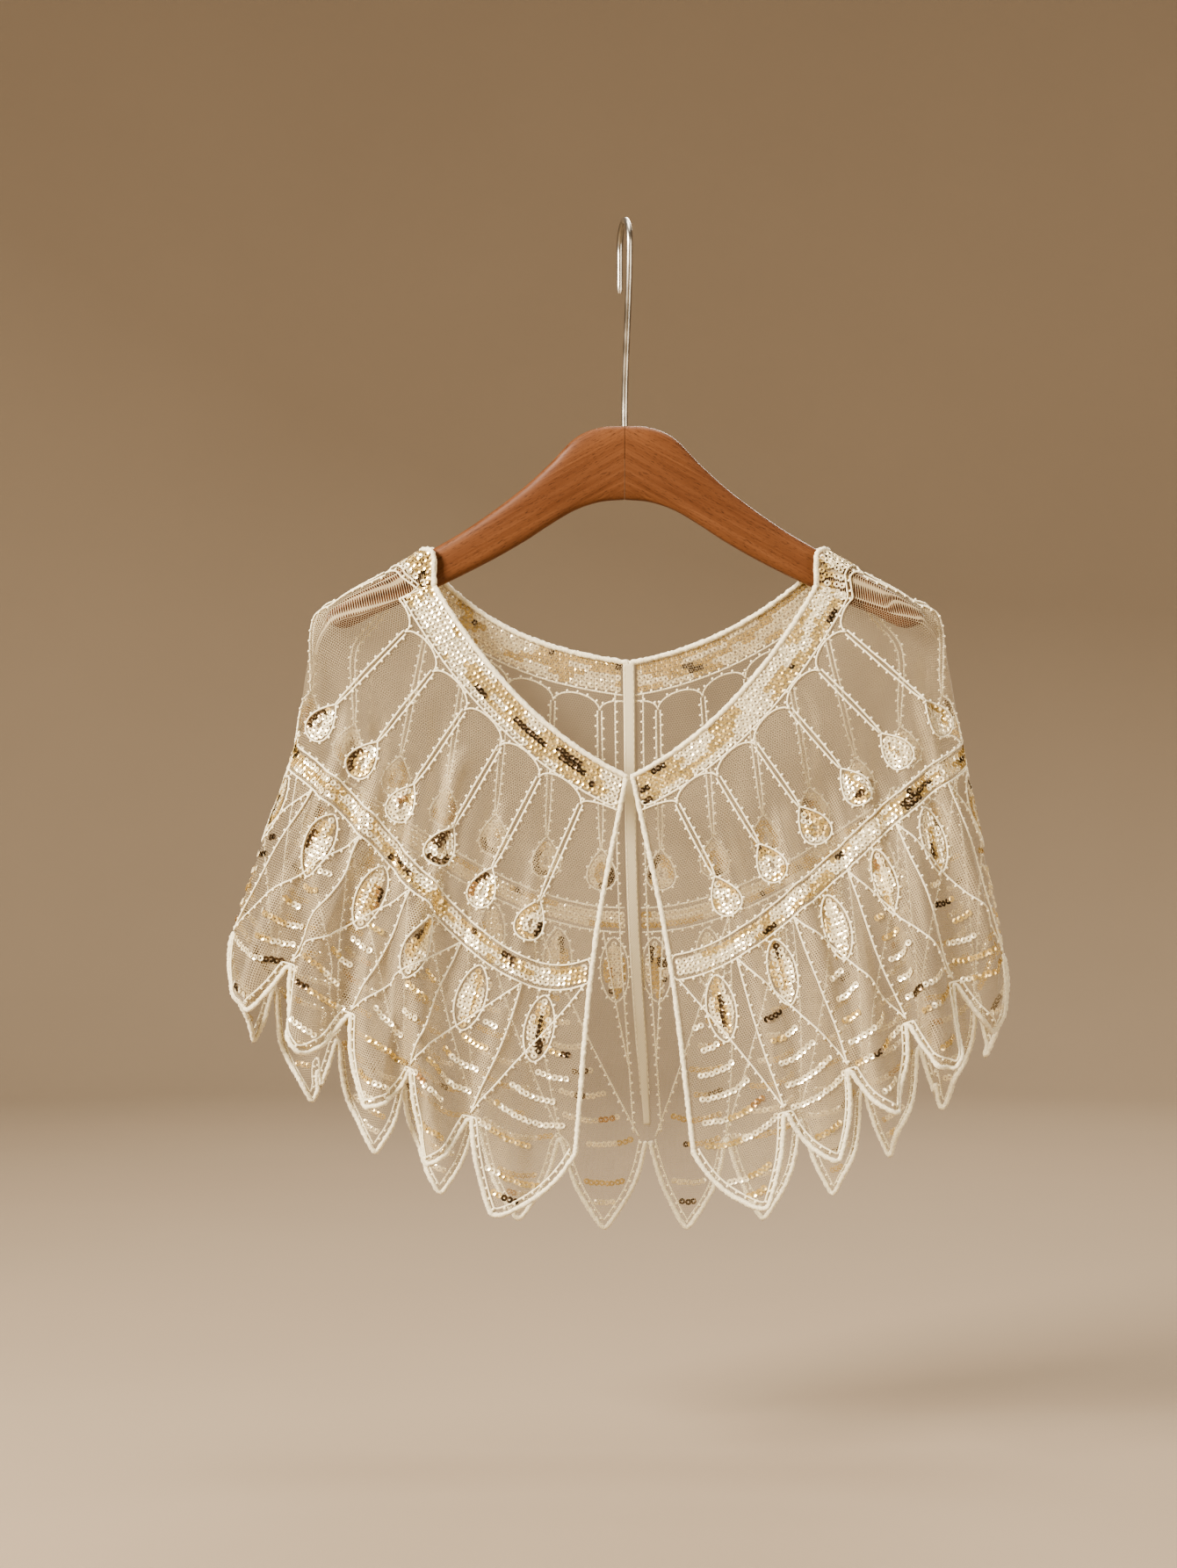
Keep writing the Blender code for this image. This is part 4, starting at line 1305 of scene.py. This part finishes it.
class CAPE_OT_edges(bpy.types.Operator):
    """Makes the satin cords round the neck, down the front edges and round the petals of the hem."""

    bl_idname = "cape.edges"
    bl_label = "Edge cords"

    def execute(self, context):
        radius = context.scene.cape_cords.edge_radius
        for number, half in enumerate(HALF_NAMES):
            chart = chart_of(half)
            pile = Pile()
            end = float(chart.depth_of(0.0, NOTCH_LEVEL))
            hem_a, hem_d = hem_line(chart, HEM_INSET)
            lines = (
                (np.linspace(0.0, 1.0, 80), np.full(80, NECK_CORD_DOWN), radius * 1.08),
                (np.full(60, FRONT_CORD_ALONG), np.linspace(0.0, end, 60), radius),
                (np.append(FRONT_CORD_ALONG, hem_a), np.append(end - 0.002, hem_d), radius),
            )
            for k, (a, d, size) in enumerate(lines):
                seed = 10 * number + k
                lay_cord(pile, chart, a, d, size, sides=9, step=0.0012, lift=0.0004, rough=0.26, seed=seed)
            edge = pile.to_object(f"satin_edge_{half}", kept_material("satin_cord"), "cream_cord")
            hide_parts(f"corded_edge_{half}")
        return {"FINISHED"}


class CAPE_OT_embroidery(bpy.types.Operator):
    """Makes the embroidered lines of the net and the small thread loops beside them."""

    bl_idname = "cape.embroidery"
    bl_label = "Embroidered lines"

    def execute(self, context):
        radius = context.scene.cape_cords.fine_radius
        material = kept_material("fine_cord")
        for half in HALF_NAMES:
            chart = chart_of(half)
            cords, loops = Pile(), Pile()
            for number, (a, d, side) in enumerate(fine_lines(chart)):
                lay_cord(cords, chart, a, d, radius, rough=0.12, seed=number)
                lay_loops(loops, chart, a, d, side * chart.sign, 0.5 if number % 2 else 0.75)
            cords.to_object(f"embroidered_lines_{half}", material, "cream_cord")
            loops.to_object(f"thread_loops_{half}", material, "cream_cord")
        return {"FINISHED"}


class CAPE_OT_sequins(bpy.types.Operator):
    """Sews the sequins: close rows in the bands, rings in the drops, and rows in leaves and kites."""

    bl_idname = "cape.sequins"
    bl_label = "Sequins"

    def execute(self, context):
        for number, half in enumerate(HALF_NAMES):
            chart = chart_of(half)
            rng = np.random.default_rng(20 + number)
            dark_end = 1.0 if half == "left" else 0.9
            rows = neckband_lines(chart)[0]
            band = self.band(chart, rng, "neckband_sequins", rows, (130, rng, 0.40, 0.022, dark_end))
            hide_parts(f"neckband_{half}")
            rows = band_lines(chart)[1]
            band = self.band(chart, rng, "band_sequins", rows, (180, rng, 0.32, 0.05, 0.0))
            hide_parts(f"middle_band_{half}")
            self.motifs(chart, rng)
            self.petal_rows(chart, rng)
        return {"FINISHED"}

    def finish(self, pile, name, chart):
        """The sequins of a pile as one object."""
        return pile.to_object(f"{name}_{chart.half}", kept_material("sequin_film"), "gold_sequins", sharp=50)

    def band(self, chart, rng, name, rows, patches):
        """The close rows of a band, whose tones lie in patches."""
        pile = Pile()
        for (a, d), tones in zip(rows, patch_tones(len(rows), *patches)):
            lay_sequins(pile, chart, a, d, rng, tones)
        return self.finish(pile, name, chart)

    def motifs(self, chart, rng):
        """Rings of sequins in each drop, and lengthwise rows in each leaf."""
        pile = Pile()
        right, below = drop_outline()
        for centre, _, axis in drop_frames(chart):
            dark = rng.uniform() < DARK_DROPS
            for k, inset in enumerate(DROP_INSETS):
                inner_right = right * (1 - inset / right.max())
                inner_below = below * (1 - 1.25 * inset / below.max()) + inset * 0.25
                a, d = chart.shifted(*centre, *turned(inner_right, inner_below, axis))
                tones = run_tones(30, rng, PALE_RUNS, 7)
                if k == 0 and dark:
                    start = rng.integers(0, 8)
                    tones[start : start + 5] = BRONZE
                lay_sequins(pile, chart, a, d, rng, tones)
        share = np.linspace(-1, 1, 12)
        for centre in leaf_centres(chart):
            middle_tone = rng.choice(4, p=LEAF_MIDDLES)
            for across, reach in LEAF_ROWS:
                right = across * (1 - 0.25 * np.abs(share) ** 3)
                a, d = chart.shifted(*centre, right, share * reach * LEAF_HEIGHT / 2)
                tones = None
                if across == 0.0:
                    tones = run_tones(14, rng, PALE_RUNS, 6)
                    tones[3:9] = middle_tone
                lay_sequins(pile, chart, a, d, rng, tones)
        self.finish(pile, "motif_sequins", chart)

    def petal_rows(self, chart, rng):
        """Single sagging rows across the kites and the petals."""
        pile = Pile()
        for a, d in kite_rows(chart, rng):
            lay_sequins(pile, chart, a, d, rng, shares=MIXED_RUNS)
        self.finish(pile, "petal_sequins", chart)


class CAPE_OT_tape(bpy.types.Operator):
    """Makes the tape inside the centre back seam: a strip that follows both halves, with two stitch rows."""

    bl_idname = "cape.tape"
    bl_label = "Seam tape"

    def execute(self, context):
        width = context.scene.cape_cloth.tape_width
        rows = 150
        charts = [chart_of(half) for half in HALF_NAMES]
        stop = float(charts[0].depth_of(1.0, 1.9))
        down = np.linspace(0.001, stop, rows)
        narrow = 1.0 - 0.45 * smooth_step((down - stop + 0.06) / 0.06)
        seam = np.ones(rows)
        sides = [
            chart.place(1.0 - width * share * narrow / chart.width_at(seam, down), down, -TAPE_INSET)
            for chart in charts for share in (0.5, 0.25)
        ]
        middle = sum(chart.place(seam, down, -TAPE_INSET) for chart in charts) / 2
        strip = np.stack([sides[0], sides[1], middle, sides[3], sides[2]], axis=1)
        faces = grid_faces(rows, 5)[:, ::-1]
        across = np.broadcast_to(np.linspace(-0.5, 0.5, 5) * width, (rows, 5))
        flat = np.stack([across, np.broadcast_to(down[:, None], (rows, 5))], axis=2).reshape(-1, 2)
        pile = Pile()
        pile.add(strip.reshape(-1, 3), faces, flat[faces])
        tape = pile.to_object("seam_tape_cloth", kept_material("woven_tape"), "cream_cord")
        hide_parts("back_seam_tape")
        wall = tape.modifiers.new("wall", "SOLIDIFY")
        wall.thickness = 0.0004
        wall.offset = 1.0
        self.stitches(charts, stop, width)
        return {"FINISHED"}

    def stitches(self, charts, stop, width):
        """Short stitches in a row down each side of the tape, on its inner face."""
        pile = Pile()
        for chart in charts:
            for start in np.arange(STITCH["first"], stop - 0.02, STITCH["step"]):
                down = np.linspace(start, start + STITCH["length"], 5)
                reach = 1.0 - STITCH["across"] * width / chart.width_at(np.ones(5), down)
                lift = -STITCH["inset"] + 0.00012 * np.sin(np.linspace(0, math.pi, 5))
                path = chart.place(reach, down, lift)
                pile.add(*tube_shape(path, chart.facing(reach, down), STITCH_RADIUS, 5))
        pile.to_object("seam_stitches", kept_material("fine_cord"), "cream_cord")


class CAPE_OT_arms(bpy.types.Operator):
    """Makes the wooden arms: at each distance from the middle a rounded oblong, |y|^p + |z|^p = 1."""

    bl_idname = "cape.arms"
    bl_label = "Hanger arms"

    def execute(self, context):
        stations, sides = 110, 56
        end = ARM_SECTIONS["reach"][-1]
        reach = end * (1.0 - (1.0 - np.linspace(0.0, 1.0, stations)) ** 1.25)
        top, bottom = arm_height("top", reach), arm_height("bottom", reach)
        fade = np.clip((end - reach) / 0.004, 0.0, 1.0)
        narrow = 0.72 + 0.28 * np.sqrt(1.0 - (1.0 - fade) ** 2)
        turn = full_turn(sides)
        round_y, round_z = (
            np.sign(wave) * np.abs(wave) ** (2 / ARM_CORNER_POWER) for wave in (np.cos(turn), np.sin(turn))
        )
        y = (narrow * ARM_THICKNESS / 2)[:, None] * round_y
        z = ((top + bottom) / 2)[:, None] + ((top - bottom) / 2)[:, None] * round_z
        for side, spec in HALVES.items():
            x = spec["sign"] * np.maximum(reach, SEAM_GAP / 2)
            skin = np.stack([np.broadcast_to(x[:, None], y.shape), y, z], axis=2)
            middles = [[x[0], 0, (top[0] + bottom[0]) / 2], [x[-1], 0, (top[-1] + bottom[-1]) / 2]]
            quads = grid_faces(stations, sides, wrap=True)[:, :: spec["sign"]]
            caps = end_fans(stations, sides)[:, :: spec["sign"]]
            pile = Pile()
            pile.add(np.concatenate([skin.reshape(-1, 3), middles]), quads, triangles=caps)
            wood = kept_material("stained_beech")
            arm = pile.to_object(f"beech_arm_{side}", wood, "stained_wood", sharp=60)
            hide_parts(f"hanger_arm_{side}")
        return {"FINISHED"}


def hook_path():
    """The middle of the wire: up from the bore, forward in a slow bend, over the crown and down."""
    radius = HOOK_INSIDE_RADIUS + WIRE_RADIUS
    bottom = ARM_SECTIONS["top"][0] - BORE_DEPTH + 0.0006
    bend_start = ARM_SECTIONS["top"][0] + HOOK_STRAIGHT
    stem_z = np.concatenate([[bottom], np.linspace(bend_start, -HOOK_INSIDE_RADIUS, 60)])
    lean = smooth_step((stem_z - bend_start) / (-HOOK_INSIDE_RADIUS - bend_start))
    turn = np.linspace(math.pi, 0.0, 50)[1:-1]
    tail_z = np.linspace(-HOOK_INSIDE_RADIUS, HOOK_TAIL_BOTTOM + 0.0004, 12)
    y = np.concatenate([-radius * lean, radius * np.cos(turn), np.full(12, radius)])
    z = np.concatenate([stem_z, -HOOK_INSIDE_RADIUS + radius * np.sin(turn), tail_z])
    return np.stack([-y * math.sin(HOOK_TURN), y * math.cos(HOOK_TURN), z], axis=1)


class CAPE_OT_hook(bpy.types.Operator):
    """Makes the wire hook: a round bar along its path with a softened end."""

    bl_idname = "cape.hook"
    bl_label = "Wire hook"

    def execute(self, context):
        path = hook_path()
        run = run_along(path)
        left = run[-1] - run
        drawn_in = (1.0 - left / HOOK_END_ROUND) ** 2 * (left < HOOK_END_ROUND) * 0.6
        size = WIRE_RADIUS * np.sqrt(np.clip(1.0 - drawn_in, 0.05, 1.0))
        side = np.tile([math.cos(HOOK_TURN), math.sin(HOOK_TURN), 0.0], (len(path), 1))
        pile = Pile()
        pile.add(*tube_shape(path, side, size, 24))
        hook = pile.to_object("wire_hook", kept_material("drawn_wire"), "steel_wire", sharp=45)
        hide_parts("hanger_hook")
        return {"FINISHED"}


class CAPE_OT_cloth_facts(bpy.types.Operator):
    bl_idname = "cape.cloth_facts"
    bl_label = "Cloth facts"

    def execute(self, context):
        return {"FINISHED"}


class CAPE_OT_stage(bpy.types.Operator):
    """Makes the floor that curves up into a plain backdrop, the soft lights and the camera."""

    bl_idname = "cape.stage"
    bl_label = "Stage"

    def execute(self, context):
        s = context.scene.cape_stage
        self.backdrop(s.floor_height, s.floor_color)
        for name, (place, target_height, size, power) in LAMPS.items():
            self.lamp(name, place, (0.0, 0.0, target_height), size, getattr(s, power))
        world = bpy.data.worlds.new("studio")
        world.use_nodes = True
        background = world.node_tree.nodes["Background"]
        background.inputs["Color"].default_value = AIR_COLOR
        background.inputs["Strength"].default_value = AIR_STRENGTH
        context.scene.world = world
        data = bpy.data.cameras.new("camera")
        data.sensor_fit = "VERTICAL"
        data.sensor_height = SENSOR_HEIGHT
        data.lens = CAMERA_LENS
        data.clip_end = 20.0
        camera = bpy.data.objects.new("camera", data)
        camera.location = CAMERA_PLACE
        camera.rotation_euler = (math.pi / 2, 0.0, 0.0)
        context.scene.collection.objects.link(camera)
        context.scene.camera = camera
        context.scene.view_settings.look = "AgX - High Contrast"
        return {"FINISHED"}

    def backdrop(self, height, color):
        """A round floor that sweeps up into a wall: a flat disc, a quarter circle and a cylinder."""
        turn = np.linspace(0.0, math.pi / 2, 25)
        sides = 96
        bend = FLOOR_RADIUS + BEND_RADIUS * np.sin(turn)
        radius = np.concatenate([[0.01], bend, [FLOOR_RADIUS + BEND_RADIUS]])
        z = height + np.concatenate([[0.0], BEND_RADIUS * (1 - np.cos(turn)), [WALL_HEIGHT]])
        around = full_turn(sides)
        skin = [radius[:, None] * wave for wave in (np.cos(around), np.sin(around))]
        skin.append(np.tile(z[:, None], sides))
        mesh = bpy.data.meshes.new("backdrop")
        faces = grid_faces(len(z), sides, wrap=True)[:, ::-1].tolist() + [list(range(sides))]
        mesh.from_pydata(np.stack(skin, axis=2).reshape(-1, 3).tolist(), [], faces)
        mesh.polygons.foreach_set("use_smooth", np.ones(len(mesh.polygons), bool))
        material = new_material("backdrop_paper", color, 0.9)
        where = add_node(material, "TexCoord", "Object")
        spots = add_node(material, "TexNoise", Vector=where, Scale=3.0, Detail=5.0)
        shade(material, Base_Color=tinted(material, spots, color, 0.97, 1.03))
        mesh.materials.append(material)
        floor = bpy.data.objects.new("backdrop", mesh)
        bpy.context.scene.collection.objects.link(floor)

    def lamp(self, name, place, target, size, power):
        """A soft square lamp that faces a target."""
        data = bpy.data.lights.new(name, "AREA")
        data.size = size
        data.energy = power
        data.color = LAMP_COLOR
        lamp = bpy.data.objects.new(name, data)
        lamp.location = place
        lamp.visible_camera = False
        lamp.rotation_euler = (Vector(target) - Vector(place)).to_track_quat("-Z", "Y").to_euler()
        bpy.context.scene.collection.objects.link(lamp)


class CAPE_PT_panel(bpy.types.Panel):
    """The cape's settings and operators in the sidebar."""

    bl_idname = "CAPE_PT_panel"
    bl_label = "Evening cape"
    bl_space_type = "VIEW_3D"
    bl_region_type = "UI"
    bl_category = "Cape"

    def draw(self, context):
        for operator in OPERATORS:
            self.layout.operator(operator.bl_idname)
        for name, group in SETTINGS.items():
            box = self.layout.box()
            box.label(text=group.__doc__)
            for prop in group.__annotations__:
                box.prop(getattr(context.scene, name), prop)


SETTINGS = {
    "cape_cloth": ClothSettings,
    "cape_cords": CordSettings,
    "cape_sequins": SequinSettings,
    "cape_hanger": HangerSettings,
    "cape_stage": StageSettings,
}
OPERATORS = (
    CAPE_OT_arms,
    CAPE_OT_hook,
    CAPE_OT_net,
    CAPE_OT_tape,
    CAPE_OT_edges,
    CAPE_OT_embroidery,
    CAPE_OT_sequins,
    CAPE_OT_cloth_facts,
    CAPE_OT_stage,
)


def register():
    for group in SETTINGS.values():
        bpy.utils.register_class(group)
    for name, group in SETTINGS.items():
        setattr(bpy.types.Scene, name, PointerProperty(type=group))
    for cls in (*OPERATORS, CAPE_PT_panel):
        bpy.utils.register_class(cls)


def unregister():
    for cls in (CAPE_PT_panel, *reversed(OPERATORS)):
        bpy.utils.unregister_class(cls)
    for name, group in SETTINGS.items():
        delattr(bpy.types.Scene, name)
        bpy.utils.unregister_class(group)


def main():
    register()
    bpy.ops.cape.arms()
    bpy.ops.cape.hook()
    bpy.ops.cape.net()
    bpy.ops.cape.tape()
    bpy.ops.cape.edges()
    bpy.ops.cape.embroidery()
    bpy.ops.cape.sequins()
    bpy.ops.cape.cloth_facts()
    bpy.ops.cape.stage()


if __name__ == "__main__":
    main()
